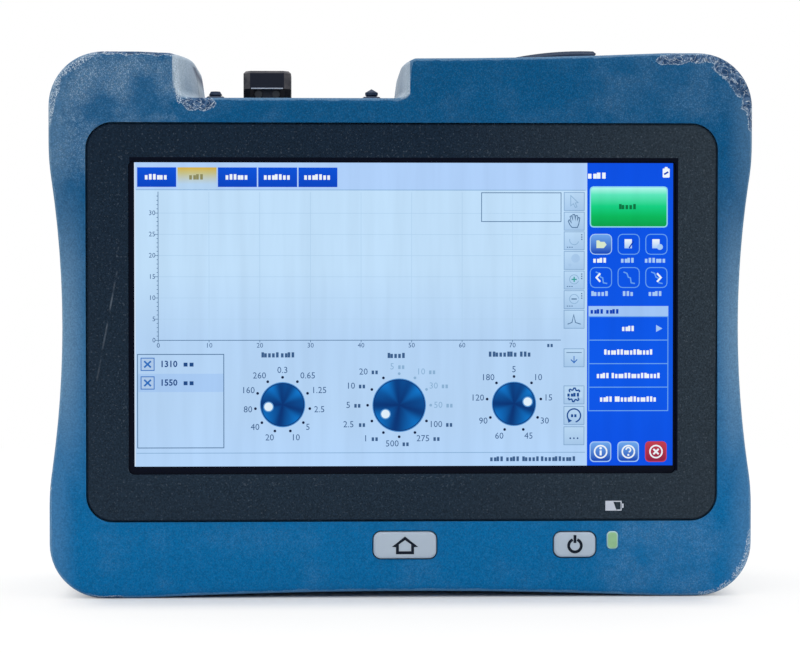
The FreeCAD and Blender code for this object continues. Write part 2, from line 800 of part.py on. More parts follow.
def make_plug_cap(cx, knob_radius, height, pointed):
    """A soft cap over a ferrule port, with a knob to pull it by."""
    inner = collar_radius + plug_gap
    z0, shoulder = bay_floor, bay_floor + plug_height
    top = bay_floor + height
    neck = knob_radius * knob_neck
    knob = [(neck, shoulder), (knob_radius, shoulder + plug_edge), (knob_radius, top - plug_tip)]
    knob += [(0, top)] if pointed else [(neck, top), (0, top)]
    under = bay_floor + collar_height + plug_gap
    points = [(inner, z0), (plug_radius, z0), (plug_radius, shoulder - plug_edge),
              (plug_radius - plug_edge, shoulder)] + knob + [(0, under), (inner, under)]
    return revolved(cx, port_y, points)


# ---------------------------------------------------------------- top right block
pocket_floor = case_height - door_floor
pocket_y0 = usb_y - door_depth / 2
pocket_y1 = usb_y + door_depth / 2
door_bottom = pocket_floor + door_lift
door_axis_z = top_surface_z(door_x0) - door_axis_drop
door_knuckle = door_axis_z - door_bottom
door_axis_x = door_x0 + door_knuckle
usb_centres = [usb_x + i * usb_pitch for i in range(usb_count)]


def make_usb_sockets():
    sockets = []
    w, d = usb_thick / 2, usb_long / 2
    z0 = pocket_floor - usb_tall
    for cx in usb_centres:
        can = block(cx - w, cx + w, usb_y - d, usb_y + d, z0, pocket_floor)
        hollow = block(cx - w + usb_wall, cx + w - usb_wall, usb_y - d + usb_wall, usb_y + d - usb_wall,
                       z0 + usb_end, pocket_floor)
        tongue = block(cx - w + usb_wall, cx - w + usb_wall + usb_tongue, usb_y - d + tongue_inset,
                       usb_y + d - tongue_inset, z0 + usb_end, pocket_floor - tongue_sunk)
        sockets.append(can.cut(hollow).fuse(tongue))
    return group(sockets)


def make_io_board():
    z1 = pocket_floor - usb_tall
    return block(usb_centres[0] - io_board_margin, usb_centres[-1] + io_board_margin,
                 usb_y - io_board_half, usb_y + io_board_half, z1 - board_thickness, z1)


def make_usb_door():
    """A thick rubber door that swells towards its free end."""
    y0, y1 = pocket_y0 + running_gap, pocket_y1 - running_gap
    start = V(door_axis_x, y0, door_axis_z + door_knuckle)
    end = V(door_x1, y0, case_height + door_rise - door_edge)
    mid = V((start.x + end.x) / 2, y0, (start.z + end.z) / 2 + door_swell)
    low_right, low_left = V(door_x1, y0, door_bottom), V(door_axis_x, y0, door_bottom)
    nose = V(door_axis_x - door_knuckle, y0, door_axis_z)
    edges = [Part.Arc(low_left, nose, start).toShape(), Part.Arc(start, mid, end).toShape(),
             Part.makeLine(end, low_right), Part.makeLine(low_right, low_left)]
    door = Part.Face(Part.Wire(edges)).extrude(V(0, y1 - y0, 0))
    crown = [e for e in door.Edges if e.CenterOfMass.z > case_height and e.Length > door_depth / 2]
    door = door.makeChamfer(door_edge, crown)
    grip = rod(V(door_x1 + door_grip / 2, y0, case_height + door_grip / 2), Y, door_grip, y1 - y0)
    hole = rod(V(door_axis_x, y0, door_axis_z), Y, door_pin_radius + hinge_fit, y1 - y0)
    return door.cut([grip, hole])


def make_usb_door_pin():
    return rod(V(door_axis_x, pocket_y0 - door_pin_reach, door_axis_z), Y, door_pin_radius,
               door_depth + 2 * door_pin_reach)


stylus_seat = top_surface_z(stylus_x) - stylus_head_sunk
stylus_tip = stylus_seat - stylus_length


def make_stylus():
    r, tip = stylus_radius, stylus_tip
    top = stylus_seat + stylus_head_height
    points = [(0, tip), (r, tip + stylus_cone), (r, stylus_seat), (stylus_head_radius, stylus_seat),
              (stylus_head_radius, top - stylus_edge), (stylus_head_radius - stylus_edge, top), (0, top)]
    return revolved(stylus_x, stylus_y, points)


# ---------------------------------------------------------------- right flank
side_plane = case_width / 2 - side_floor
side_y0 = side_y - side_depth / 2
side_y1 = side_y + side_depth / 2


def make_lan_jack():
    w, t = lan_width / 2, lan_tall / 2
    body = block(side_plane - lan_long, side_plane, side_y - t, side_y + t, lan_z - w, lan_z + w)
    m = lan_mouth_width / 2
    y0 = side_y - t + lan_mouth_up
    mouth = block(side_plane - lan_mouth_long, side_plane, y0, y0 + lan_mouth_tall, lan_z - m, lan_z + m)
    latch = block(side_plane - lan_mouth_long, side_plane, y0 + lan_mouth_tall,
                  side_y + t - lan_latch_up, lan_z - lan_latch_half, lan_z + lan_latch_half)
    contact_zs = [lan_z + (i - (contact_count - 1) / 2) * contact_pitch for i in range(contact_count)]
    contacts = [block(side_plane - lan_mouth_long, side_plane - lan_mouth_long + contact_length,
                      y0, y0 + contact_height, z - contact_half, z + contact_half) for z in contact_zs]
    return body.cut([mouth, latch]).fuse(contacts)


def make_dc_jack():
    s = inlet_size / 2
    body = block(side_plane - inlet_long, side_plane, side_y - s, side_y + s, inlet_z - s, inlet_z + s)
    hole = rod(V(side_plane - inlet_deep, side_y, inlet_z), X, inlet_radius, inlet_deep)
    pin = rod(V(side_plane - inlet_deep - inlet_pin_sunk, side_y, inlet_z), X, inlet_pin, inlet_deep)
    return body.cut(hole).fuse(pin)


def make_side_board():
    y0 = side_y + lan_tall / 2
    return block(side_plane - lan_long - side_board_reach, side_plane - side_board_gap,
                 y0, y0 + board_thickness, side_z0 - side_board_over, side_z1 + side_board_over)


def make_side_cover(outer):
    """A rubber plug that follows the waist of the case."""
    g = running_gap
    plug = outer.common(block(side_plane, case_width, side_y0 + g, side_y1 - g,
                              side_z0 + g, side_z1 - g))
    finger = rod(V(case_width / 2 + finger_out, side_y0 + finger_in,
                   (side_z0 + side_z1 - finger_length) / 2), Z, finger_radius, finger_length)
    return plug.cut(finger)


# ---------------------------------------------------------------- back
cover_x = battery_width / 2 + cover_margin
cover_z0 = battery_z - battery_height / 2 - cover_margin
cover_z1 = battery_z + battery_height / 2 + cover_margin
cover_inner = back_y - cover_wall
battery_back = cover_inner - tub_gap
battery_front = battery_back - battery_depth
cover_screw_inset = cover_margin / 2 + cover_gap
cover_screws = [(0, cover_z0 + cover_screw_inset), (0, cover_z1 - cover_screw_inset)]
cover_head_radius = screw_head - 2 * cover_head_gap


def make_battery():
    pack = block(-battery_width / 2, battery_width / 2, battery_front, battery_back,
                 battery_z - battery_height / 2, battery_z + battery_height / 2)
    return pack.makeFillet(battery_round, [e for e in pack.Edges if e.BoundBox.YLength > 5])


def make_battery_cover():
    plate = rounded_plate(0, battery_z, 2 * cover_x, cover_z1 - cover_z0, cover_corner,
                          cover_inner, back_y)
    cuts = [rod(V(x, cover_inner, z), Y, screw_radius + seat_gap, cover_wall) for x, z in cover_screws]
    cuts += [rod(V(x, back_y - cover_head_depth, z), Y, cover_head_radius + cover_head_gap,
                 cover_head_depth) for x, z in cover_screws]
    for i in range(grip_count):
        z = battery_z + (i - (grip_count - 1) / 2) * grip_pitch
        cuts.append(block(-grip_width / 2, grip_width / 2, back_y - grip_depth, back_y,
                          z - grip_depth, z + grip_depth))
    return plate.cut(cuts)


def make_cover_screws():
    start, seat = cover_inner - ledge_depth + tub_gap, back_y - cover_head_depth
    return group([rod(V(x, start, z), Y, screw_radius, seat - start)
                  .fuse(rod(V(x, seat, z), Y, cover_head_radius, cover_head_depth - cover_head_proud))
                  for x, z in cover_screws])


stand_pivot_y = back_y + running_gap + stand_thickness / 2
stand_y1 = back_y + running_gap + stand_thickness
ear_x1 = stand_width / 2 - stand_arm - running_gap
ear_x0 = ear_x1 - stand_ear_width


def make_kickstand():
    """A flat bail: two arms with round eyes and a cross bar."""
    half = stand_width / 2
    low = stand_pivot_z - stand_length
    y0 = back_y + running_gap
    beyond = 2 * case_height
    plate = rounded_plate(0, (low + stand_pivot_z) / 2, stand_width, stand_length, stand_corner,
                          y0, stand_y1)
    upper = block(-half, half, y0, stand_y1, stand_pivot_z - stand_shoulder, stand_pivot_z)
    window = rounded_plate(0, (low + stand_bar + beyond) / 2, stand_width - 2 * stand_arm,
                           beyond - low - stand_bar, stand_window_corner, y0, stand_y1)
    bail = plate.fuse(upper).cut(window)
    eyes = [rod(V(x, stand_pivot_y, stand_pivot_z), X, stand_thickness / 2, stand_arm)
            for x in (-half, half - stand_arm)]
    holes = [rod(V(x, stand_pivot_y, stand_pivot_z), X, stand_pin_radius + hinge_fit, stand_arm)
             for x in (-half, half - stand_arm)]
    grip = rounded_plate(0, low + stand_grip_up, stand_grip_width, stand_grip_height,
                         stand_grip_corner, y0, stand_y1)
    return bail.fuse(eyes).removeSplitter().cut(holes + [grip])


def make_stand_feet():
    low = stand_pivot_z - stand_length
    return group([block(s * stand_foot_x - stand_foot_width / 2, s * stand_foot_x + stand_foot_width / 2,
                        back_y + 2 * running_gap, stand_y1, low - stand_foot_height, low)
                  for s in (-1, 1)])


def make_stand_pins():
    length = stand_ear_width + stand_arm + running_gap
    return group([rod(V(x, stand_pivot_y, stand_pivot_z), X, stand_pin_radius, length)
                  for x in (ear_x0, -ear_x0 - length)])


def make_bumpers():
    pads = []
    for sx in (-1, 1):
        for z in bumper_zs:
            pad = rounded_plate(sx * bumper_x, z, bumper_size, bumper_size, bumper_corner,
                                back_y, back_y + bumper_proud)
            pads.append(pad.makeChamfer(bumper_edge, edges_on_y(pad, back_y + bumper_proud)))
    return group(pads)


case_screws = [(sx * case_screw_x, z) for sx in (-1, 1)
               for z in (case_screw_inset_z, case_height - case_screw_inset_z)]


def make_case_screws():
    start = seam_y - case_screw_reach
    return group([rod(V(x, start, z), Y, screw_radius, case_screw_seat - start)
                  .fuse(rod(V(x, case_screw_seat, z), Y, screw_head, screw_head_height))
                  for x, z in case_screws])


def make_optical_module():
    """Sealed optics block that carries all three ports, on posts from the main board."""
    x1, y1 = optics_x0 + optics_width, optics_y0 + optics_depth
    z0 = optics_z0
    body = block(optics_x0, x1, optics_y0, y1, z0, module_top)
    lid = block(optics_x0 + optics_rim, x1 - optics_rim, y1, y1 + optics_lid, z0 + optics_rim,
                module_top - optics_rim)
    posts = [post(x, z, board_back, optics_y0, post_half)
             for x in (optics_x0 + 2 * optics_rim, x1 - 2 * optics_rim)
             for z in (z0 + 2 * optics_rim, z0 + 5 * optics_rim)]
    return body.fuse([lid] + posts)


def make_speaker():
    back = back_y - wall
    cup = rod(V(speaker_x, back - speaker_depth, speaker_z), Y, speaker_radius, speaker_depth)
    return cup.fuse(post(speaker_x, speaker_z, back - magnet_reach, back - speaker_depth, magnet_half))


def make_rear_shell(outer, cavity):
    shell = seam_slice(outer, seam_y + seam_gap / 2, back_y + past).cut(cavity)
    inner = case_prism(wall / 2, seam_y + seam_gap / 2, back_y - wall / 2)
    inner_back = back_y - wall
    # battery tub with its ledge, socket blocks, stylus well and screw posts
    tub_x, tub_h = battery_width / 2 + tub_gap, battery_height / 2 + tub_gap
    adds = [block(-cover_x - cover_rim, cover_x + cover_rim, cover_inner - ledge_depth,
                  inner_back + wall / 2, cover_z0 - cover_rim, cover_z1 + cover_rim),
            block(-tub_x - tub_wall, tub_x + tub_wall, battery_front - tub_wall, inner_back,
                  battery_z - tub_h - tub_wall, battery_z + tub_h + tub_wall)]
    adds.append(block(door_x0 - pocket_wall, door_x1 + pocket_wall, pocket_y0 - pocket_wall,
                      pocket_y1 + pocket_wall, pocket_floor - pocket_wall, case_height))
    adds.append(block(side_plane - pocket_wall, case_width / 2, side_y0 - pocket_wall,
                      side_y1 + pocket_wall, side_z0 - pocket_wall, side_z1 + pocket_wall))
    well_r = stylus_radius + running_gap
    well_z0 = stylus_tip - well_end
    adds.append(rod(V(stylus_x, stylus_y, well_z0), Z, stylus_head_radius + running_gap + well_wall,
                    case_height - well_z0))
    adds.append(block(stylus_x - well_rib, stylus_x + well_rib, stylus_y, inner_back,
                      stylus_tip, case_height - wall))
    adds += [post(x, z, seam_y, inner_back, case_screw_boss) for x, z in case_screws]
    adds = [add.common(inner) for add in adds]
    cuts = [rounded_plate(0, battery_z, 2 * (cover_x + cover_gap), cover_z1 - cover_z0 + 2 * cover_gap,
                          cover_corner + cover_gap, cover_inner, back_y + past),
            block(-tub_x, tub_x, battery_front, back_y, battery_z - tub_h, battery_z + tub_h)]
    cuts += [rod(V(x, cover_inner - ledge_depth, z), Y, screw_radius + hinge_fit, ledge_depth + past)
             for x, z in cover_screws]
    # port plate recess and the way down to the optics
    cuts.append(block(plate_x0, plate_x1, plate_y0, plate_y1, plate_z0, bay_floor + bay_round))
    cuts.append(block(plate_x0 + plate_side_ledge, plate_x1 - plate_ledge, plate_y0 + plate_ledge,
                      plate_y1 - plate_ledge, bay_floor - bay_floor_wall - past, plate_z0))
    cuts += [rod(V(px, py, plate_z0 - plate_screw_reach - seat_gap), Z, plate_screw_radius,
                 plate_screw_reach + 2 * seat_gap) for px, py in plate_screws]
    # door pocket, sockets and hinge
    cuts.append(block(door_x0 - door_hinge_gap, door_x1 + running_gap, pocket_y0, pocket_y1,
                      pocket_floor, case_height + past))
    w, d = usb_thick / 2 + seat_gap, usb_long / 2 + seat_gap
    cuts += [block(cx - w, cx + w, usb_y - d, usb_y + d, pocket_floor - pocket_wall - past, pocket_floor)
             for cx in usb_centres]
    reach = door_pin_reach + seat_gap
    cuts.append(rod(V(door_axis_x, pocket_y0 - reach, door_axis_z), Y, door_pin_radius + pin_fit,
                    door_depth + 2 * reach))
    # stylus well
    cuts.append(rod(V(stylus_x, stylus_y, stylus_tip - well_gap), Z, well_r, case_height - stylus_tip))
    cuts.append(rod(V(stylus_x, stylus_y, stylus_seat), Z, stylus_head_radius + running_gap,
                    case_height))
    # flank pocket and its two inlets
    cuts.append(block(side_plane, case_width, side_y0, side_y1, side_z0, side_z1))
    for cz, width, tall in ((lan_z, lan_width, lan_tall), (inlet_z, inlet_size, inlet_size)):
        w, t = width / 2 + seat_gap, tall / 2 + seat_gap
        cuts.append(block(side_plane - pocket_wall - 2 * past, side_plane, side_y - t, side_y + t,
                          cz - w, cz + w))
    # case screws and speaker slots
    cuts += [rod(V(x, case_screw_seat, z), Y, screw_head + 2 * seat_gap, back_y) for x, z in case_screws]
    cuts += [rod(V(x, seam_y - past, z), Y, screw_radius + hinge_fit, back_y) for x, z in case_screws]
    for i in range(slot_count):
        z = speaker_z + (i - (slot_count - 1) / 2) * slot_pitch
        cuts.append(block(speaker_x - slot_length / 2, speaker_x + slot_length / 2, inner_back - past,
                          back_y + past, z - slot_width / 2, z + slot_width / 2))
    shell = shell.fuse(adds).cut(cuts)
    ears = [block(min(s * ear_x0, s * ear_x1), max(s * ear_x0, s * ear_x1), back_y, stand_y1,
                  stand_pivot_z - stand_ear_height / 2, stand_pivot_z + stand_ear_height / 2)
            for s in (-1, 1)]
    pin_holes = [rod(V(s * (ear_x0 + ear_x1) / 2 - stand_ear_width, stand_pivot_y, stand_pivot_z), X,
                     stand_pin_radius + pin_fit, 2 * stand_ear_width) for s in (-1, 1)]
    ears = [ear.makeChamfer(stand_thickness / 3, [e for e in edges_on_y(ear, stand_y1)
                                                  if e.BoundBox.XLength > 1]) for ear in ears]
    return shell.fuse(ears).cut(pin_holes)


def make_gasket():
    """A thin seal in the seam, which leaves a fine groove all round."""
    y0, y1 = seam_y - seam_gap / 2, seam_y + seam_gap / 2
    lip = wall - running_gap
    outside = case_prism(seam_inset, y0, y1).cut(bay_tool(seam_inset, bay_floor - seam_inset, 0))
    inside = case_prism(lip, y0, y1).cut(bay_tool(lip, bay_floor - lip, 0))
    return outside.cut(inside)


def front_screw_posts(shell):
    """Posts that meet the rear shell's screw posts at the seam."""
    inner = case_prism(wall / 2, front_y, seam_y)
    posts = [post(x, z, wall_back_y, seam_y, case_screw_boss).common(inner) for x, z in case_screws]
    start = seam_y - case_screw_reach - case_screw_tip
    holes = [rod(V(x, start, z), Y, screw_radius + hinge_fit, seam_y + case_screw_tip - start)
             for x, z in case_screws]
    return shell.fuse(posts).cut(holes)


# ---------------------------------------------------------------- all nodes
def make_nodes():
    outer, cavity = make_outer(), make_cavity()
    return {
        "front_shell": front_screw_posts(make_front_shell(outer, cavity)),
        "rear_shell": make_rear_shell(outer, cavity),
        "case_gasket": make_gasket(),
        "case_screws": make_case_screws(),
        "screen_bezel": make_bezel(),
        "touch_panel": make_touch_panel(),
        "lcd_module": make_lcd_module(),
        "lcd_bracket": make_lcd_bracket(),
        "main_board": make_main_board(),
        "home_button": button_parts(home_x, home_width, home_height),
        "power_button": button_parts(power_x, power_width, power_height),
        "status_light": make_light_pipe(),
        "keypad_board": make_keypad_board(),
        "optical_module": make_optical_module(),
        "port_plate": make_port_plate(),
        "port_plate_screws": make_plate_screws(),
        "otdr_adapter": make_adapter(),
        "ferrule_holder": make_ferrule_holder(),
        "adapter_screws": make_adapter_screws(),
        "dust_cap": make_dust_cap(),
        "dust_cap_pin": make_dust_cap_pin(),
        "power_meter_port": make_ferrule_port(meter_x),
        "power_meter_cap": make_plug_cap(meter_x, meter_knob_radius, meter_cap_height, False),
        "fault_laser_port": make_ferrule_port(laser_x),
        "fault_laser_cap": make_plug_cap(laser_x, laser_knob_radius, laser_cap_height, True),
        "usb_sockets": make_usb_sockets(),
        "io_board": make_io_board(),
        "usb_door": make_usb_door(),
        "usb_door_pin": make_usb_door_pin(),
        "stylus": make_stylus(),
        "lan_jack": make_lan_jack(),
        "dc_jack": make_dc_jack(),
        "side_board": make_side_board(),
        "side_cover": make_side_cover(outer),
        "battery_pack": make_battery(),
        "battery_cover": make_battery_cover(),
        "battery_cover_screws": make_cover_screws(),
        "kickstand": make_kickstand(),
        "kickstand_feet": make_stand_feet(),
        "kickstand_pins": make_stand_pins(),
        "rear_bumpers": make_bumpers(),
        "speaker": make_speaker(),
    }


os.makedirs("parts", exist_ok=True)
for name, shape in make_nodes().items():
    shape.exportStep("parts/" + name + ".step")
    state = "ok" if shape.isValid() else "BAD"
    print(name, len(shape.Solids), "solids", round(shape.Volume), "mm3", state)
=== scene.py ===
import bmesh
import bpy
import math
import numpy as np
from functools import partial
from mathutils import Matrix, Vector


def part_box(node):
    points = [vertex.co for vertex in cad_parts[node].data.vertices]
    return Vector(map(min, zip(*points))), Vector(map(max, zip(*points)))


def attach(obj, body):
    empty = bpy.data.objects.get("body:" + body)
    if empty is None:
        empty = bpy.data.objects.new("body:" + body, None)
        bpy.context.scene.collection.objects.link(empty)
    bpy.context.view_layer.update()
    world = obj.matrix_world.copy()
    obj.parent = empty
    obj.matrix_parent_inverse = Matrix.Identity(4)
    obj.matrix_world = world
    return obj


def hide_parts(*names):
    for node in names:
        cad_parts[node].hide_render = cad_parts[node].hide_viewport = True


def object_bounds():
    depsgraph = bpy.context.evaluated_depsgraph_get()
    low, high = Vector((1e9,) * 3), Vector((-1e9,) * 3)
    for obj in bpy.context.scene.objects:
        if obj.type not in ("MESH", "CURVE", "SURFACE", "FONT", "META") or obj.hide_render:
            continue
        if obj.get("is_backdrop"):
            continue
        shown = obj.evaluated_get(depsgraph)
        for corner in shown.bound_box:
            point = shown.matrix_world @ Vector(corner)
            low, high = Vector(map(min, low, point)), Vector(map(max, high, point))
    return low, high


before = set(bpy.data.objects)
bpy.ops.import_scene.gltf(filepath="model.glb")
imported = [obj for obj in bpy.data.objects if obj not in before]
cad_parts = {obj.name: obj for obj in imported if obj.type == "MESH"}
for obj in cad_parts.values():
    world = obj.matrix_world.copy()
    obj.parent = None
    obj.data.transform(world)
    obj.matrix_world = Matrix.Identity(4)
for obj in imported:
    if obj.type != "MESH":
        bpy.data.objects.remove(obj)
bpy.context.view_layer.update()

# Hand-held fibre tester with a wide touch screen, in a waisted two-shell case.
# Metres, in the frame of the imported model: +X right, +Y to the back, +Z up.

mm = 0.001
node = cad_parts


def linear(hexColour):
    # sRGB to linear: c / 12.92 below 0.04045, else ((c + 0.055) / 1.055) ^ 2.4
    parts = [int(hexColour[i:i + 2], 16) / 255 for i in (1, 3, 5)]
    return tuple(c / 12.92 if c <= 0.04045 else ((c + 0.055) / 1.055) ** 2.4 for c in parts) + (1.0,)


def metres(values):
    return [value * mm for value in values]


def addPiece(name, verts, faces, material, body, slotName, tints=None, smooth=True):
    # makes the mesh from millimetres, turns it right side out (positive enclosed volume) and lets it ride
    verts = np.asarray(verts, float)
    flat = [(f[0], f[i], f[i + 1]) for f in faces for i in range(1, len(f) - 1)]
    a, b, c = (verts[[t[i] for t in flat]] for i in range(3))
    if np.einsum("ij,ij->i", a, np.cross(b, c)).sum() < 0:
        faces = [tuple(reversed(f)) for f in faces]
    mesh = bpy.data.meshes.new(name)
    mesh.from_pydata((verts * mm).tolist(), [], [tuple(int(i) for i in f) for f in faces])
    mesh.polygons.foreach_set("use_smooth", [smooth] * len(mesh.polygons))
    if tints is not None:
        layer = mesh.color_attributes.new("tint", "FLOAT_COLOR", "POINT")
        layer.data.foreach_set("color", np.asarray(tints, float).ravel())
    mesh.update()
    piece = bpy.data.objects.new(name, mesh)
    bpy.context.scene.collection.objects.link(piece)
    mesh.materials.append(material)
    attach(piece, body)
    return piece


def stackRings(rings):
    # rings: (k, n, 3). Quads join neighbouring rings, and a many-sided face closes each end
    rings = np.asarray(rings, float)
    k, n = rings.shape[:2]
    i, j = np.meshgrid(np.arange(k - 1), np.arange(n), indexing="ij")
    nextJ = (j + 1) % n
    quads = np.stack([i * n + j, i * n + nextJ, (i + 1) * n + nextJ, (i + 1) * n + j], -1).reshape(-1, 4)
    faces = [tuple(q) for q in quads] + [tuple(range(n))[::-1], tuple(range((k - 1) * n, k * n))]
    return rings.reshape(-1, 3), faces


def atDepth(points, y):
    # (x, z) points stood up at one depth
    points = np.asarray(points, float)
    return np.column_stack([points[:, 0], np.full(len(points), y), points[:, 1]])


def onCircle(cx, cz, radius, angle):
    return np.column_stack([cx + radius * np.cos(angle), cz + radius * np.sin(angle)])


def roundedOutline(cx, cz, width, height, radius, steps=8):
    # a rectangle whose corners are quarter circles: centre + half size - radius + radius * (cos, sin)
    angle = np.linspace(0, np.pi / 2, steps)
    points = []
    for quarter in range(4):
        t = angle + quarter * np.pi / 2
        sx, sz = (1, -1, -1, 1)[quarter], (1, 1, -1, -1)[quarter]
        points.append(onCircle(cx + sx * (width / 2 - radius), cz + sz * (height / 2 - radius), radius, t))
    return np.concatenate(points)


def softPlate(cx, cz, width, height, radius, back, front, edge, crown):
    # outline drawn in by edge * (1 - cos) while y goes forward by edge * sin, then a top whose rings shrink
    # to a share of the outline and rise by crown * (1 - share ^ 2)
    arc = np.linspace(0, np.pi / 2, 7)
    inset = np.concatenate([[0], edge * (1 - np.cos(arc))])
    depth = np.concatenate([[back], front + edge - edge * np.sin(arc)])
    rings = []
    for ins, y in zip(inset, depth):
        outline = roundedOutline(cx, cz, width - 2 * ins, height - 2 * ins, max(radius - ins, 0.05))
        rings.append(atDepth(outline, y))
    middle, top = np.array([cx, cz]), rings[-1][:, [0, 2]]
    for share in (0.7, 0.4, 0.1):
        rings.append(atDepth(middle + (top - middle) * share, front - crown * (1 - share ** 2)))
    return stackRings(rings)


def joinParts(parts):
    # several (verts, faces) or (verts, faces, tints) become one
    verts, faces, tints, base = [], [], [], 0
    for part in parts:
        verts.append(np.asarray(part[0], float))
        faces += [tuple(i + base for i in f) for f in part[1]]
        if len(part) > 2:
            tints.append(np.asarray(part[2], float))
        base += len(part[0])
    return np.concatenate(verts), faces, (np.concatenate(tints) if tints else None)


def prism(outline, front, back):
    # a closed slab: the outline (n, 2) at two depths
    return stackRings([atDepth(outline, y) for y in (back, front)])


def strokeSlab(points, width, front, back, closed=False):
    # a line of even width: each point moves both ways along its mitre by half the width / cos(half the turn)
    p = np.asarray(points, float)
    before, after = np.roll(p, 1, 0), np.roll(p, -1, 0)
    if not closed:
        before[0], after[-1] = 2 * p[0] - p[1], 2 * p[-1] - p[-2]
    d1, d2 = p - before, after - p
    d1, d2 = (d / np.linalg.norm(d, axis=1, keepdims=True) for d in (d1, d2))
    tangent = (d1 + d2) / np.linalg.norm(d1 + d2, axis=1, keepdims=True)
    normal = np.column_stack([-tangent[:, 1], tangent[:, 0]])
    reach = width / 2 / np.maximum(np.abs((normal * np.column_stack([-d1[:, 1], d1[:, 0]])).sum(1)), 0.4)
    one, two = p + normal * reach[:, None], p - normal * reach[:, None]
    section = [atDepth(q, y) for q, y in ((one, front), (two, front), (two, back), (one, back))]
    verts, faces = stackRings(np.stack(section, 1))
    if closed:
        last = (len(p) - 1) * 4
        faces = faces[:-2] + [(last + j, last + (j + 1) % 4, (j + 1) % 4, j) for j in range(4)]
    return verts, faces


# Materials: every finish is a tree of nodes in object coordinates, and no image is used.
def fill(made, values):
    # sets a node's inputs by number or name, and links those whose value is another node's output
    sockets = [s for s in made.inputs if s.enabled]
    for key, value in values.items():
        socket = sockets[key] if isinstance(key, int) else next(s for s in sockets if s.name == key)
        if isinstance(value, bpy.types.NodeSocket):
            made.id_data.links.new(value, socket)
        else:
            socket.default_value = value


def put(tree, kind, *values, out=None, **settings):
    # adds a node with its settings and links: values go in by order or, in a dictionary, by name
    made = tree.nodes.new("ShaderNode" + kind)
    for key, value in settings.items():
        setattr(made, key, value)
    for i, value in enumerate(values):
        fill(made, value if isinstance(value, dict) else {i: value})
    return made.outputs[out] if out else next((s for s in made.outputs if s.enabled), made)


def perMm(size):
    # noise scale for a pattern whose features are this many millimetres apart
    return 1000.0 / size


def startMaterial(name, gloss=0.5):
    # gives the material, a function that adds nodes to it, its shader and the object coordinates
    material = bpy.data.materials.new(name)
    material.use_nodes = True
    material.node_tree.nodes.clear()
    add = partial(put, material.node_tree)
    surface = add("BsdfPrincipled", {"Specular IOR Level": gloss})
    add("OutputMaterial", {"Surface": surface})
    return material, add, surface.node, add("TexCoord", out="Object")


plainLook = {"drift": 25.0, "spread": 0.08, "bump": 0.6}


def plainFinish(name, colour, deep, grain, height, roughness, metallic=0.0, gloss=0.5):
    # tone and roughness drift slowly; bumps 'grain' mm apart and 'height' mm high break the shine, coarser
    # than a real moulded or blasted grain so that they show
    material, add, shader, place = startMaterial(name, gloss)
    drift = add("TexNoise", {"Vector": place, "Scale": perMm(plainLook["drift"]), "Detail": 4.0})
    tone = add("Mix", {"Factor": drift, "A": linear(colour), "B": linear(deep)}, data_type="RGBA")
    fine = add("TexNoise", {"Vector": place, "Scale": perMm(grain), "Detail": 3.0})
    bump = add("Bump", {"Height": fine, "Distance": height * mm, "Strength": plainLook["bump"]})
    low, high = roughness - plainLook["spread"], roughness + plainLook["spread"]
    rough = add("MapRange", drift, 0.0, 1.0, low, high)
    fill(shader, {"Base Color": tone, "Normal": bump, "Roughness": rough, "Metallic": metallic})
    return material


print("materials")
# each plain finish: its two tones, the spacing and height of its bumps in mm, and its roughness
finishes = {
    # EPDM seal cord: matt, nearly black
    "epdmSeal": plainFinish("epdmSeal", "#10151d", "#171d26", 0.4, 0.03, 0.75),
    # moulded silicone keypad: pale grey, satin
    "siliconeKey": plainFinish("siliconeKey", "#b2c0ce", "#a5b3c3", 0.6, 0.015, 0.42, gloss=0.3),
    # black-printed border under hard-coated polyester film: smooth and glossy
    "hardCoatedFilm": plainFinish("hardCoatedFilm", "#040917", "#060c1e", 3.0, 0.002, 0.12, gloss=0.04),
    # moulded nylon of adapters and sockets: satin blue-black
    "adapterNylon": plainFinish("adapterNylon", "#1c2230", "#232a38", 0.5, 0.03, 0.45, gloss=0.2),
    # soft thermoplastic rubber of doors and plugs
    "tpeRubber": plainFinish("tpeRubber", "#26344a", "#2d3c54", 0.4, 0.04, 0.6, gloss=0.2),
    # nickel-plated brass: metallic, lightly brushed
    "nickelBrass": plainFinish("nickelBrass", "#a9adb2", "#9aa0a6", 0.3, 0.01, 0.3, metallic=1.0),
    # zinc-plated steel: duller and greyer than the nickel
    "zincSteel": plainFinish("zincSteel", "#9da2a8", "#8b9198", 0.4, 0.01, 0.36, metallic=1.0),
    # black-zinc screws: dark metal with a soft glint
    "blackZincSteel": plainFinish("blackZincSteel", "#3a3d42", "#2c2f33", 0.4, 0.01, 0.4, metallic=1.0),
    # cast aluminium: pale, sandy, barely shiny
    "castAluminium": plainFinish("castAluminium", "#b3b7bb", "#a4a9ae", 0.6, 0.04, 0.45, metallic=1.0),
    # green solder mask over the boards: smooth, half glossy
    "solderMask": plainFinish("solderMask", "#125c34", "#0f5230", 1.0, 0.02, 0.35),
    # shrunk film of the battery pack: dark grey with a faint ripple
    "batteryFilm": plainFinish("batteryFilm", "#2b2d30", "#25272a", 1.2, 0.01, 0.3),
    # glass-filled nylon stand: dark grey, coarse and matt
    "glassNylon": plainFinish("glassNylon", "#2a3038", "#323942", 0.6, 0.06, 0.55),
    # acetal stylus: black with a waxy sheen
    "acetalBlack": plainFinish("acetalBlack", "#1b1e24", "#22262d", 0.5, 0.02, 0.35),
}


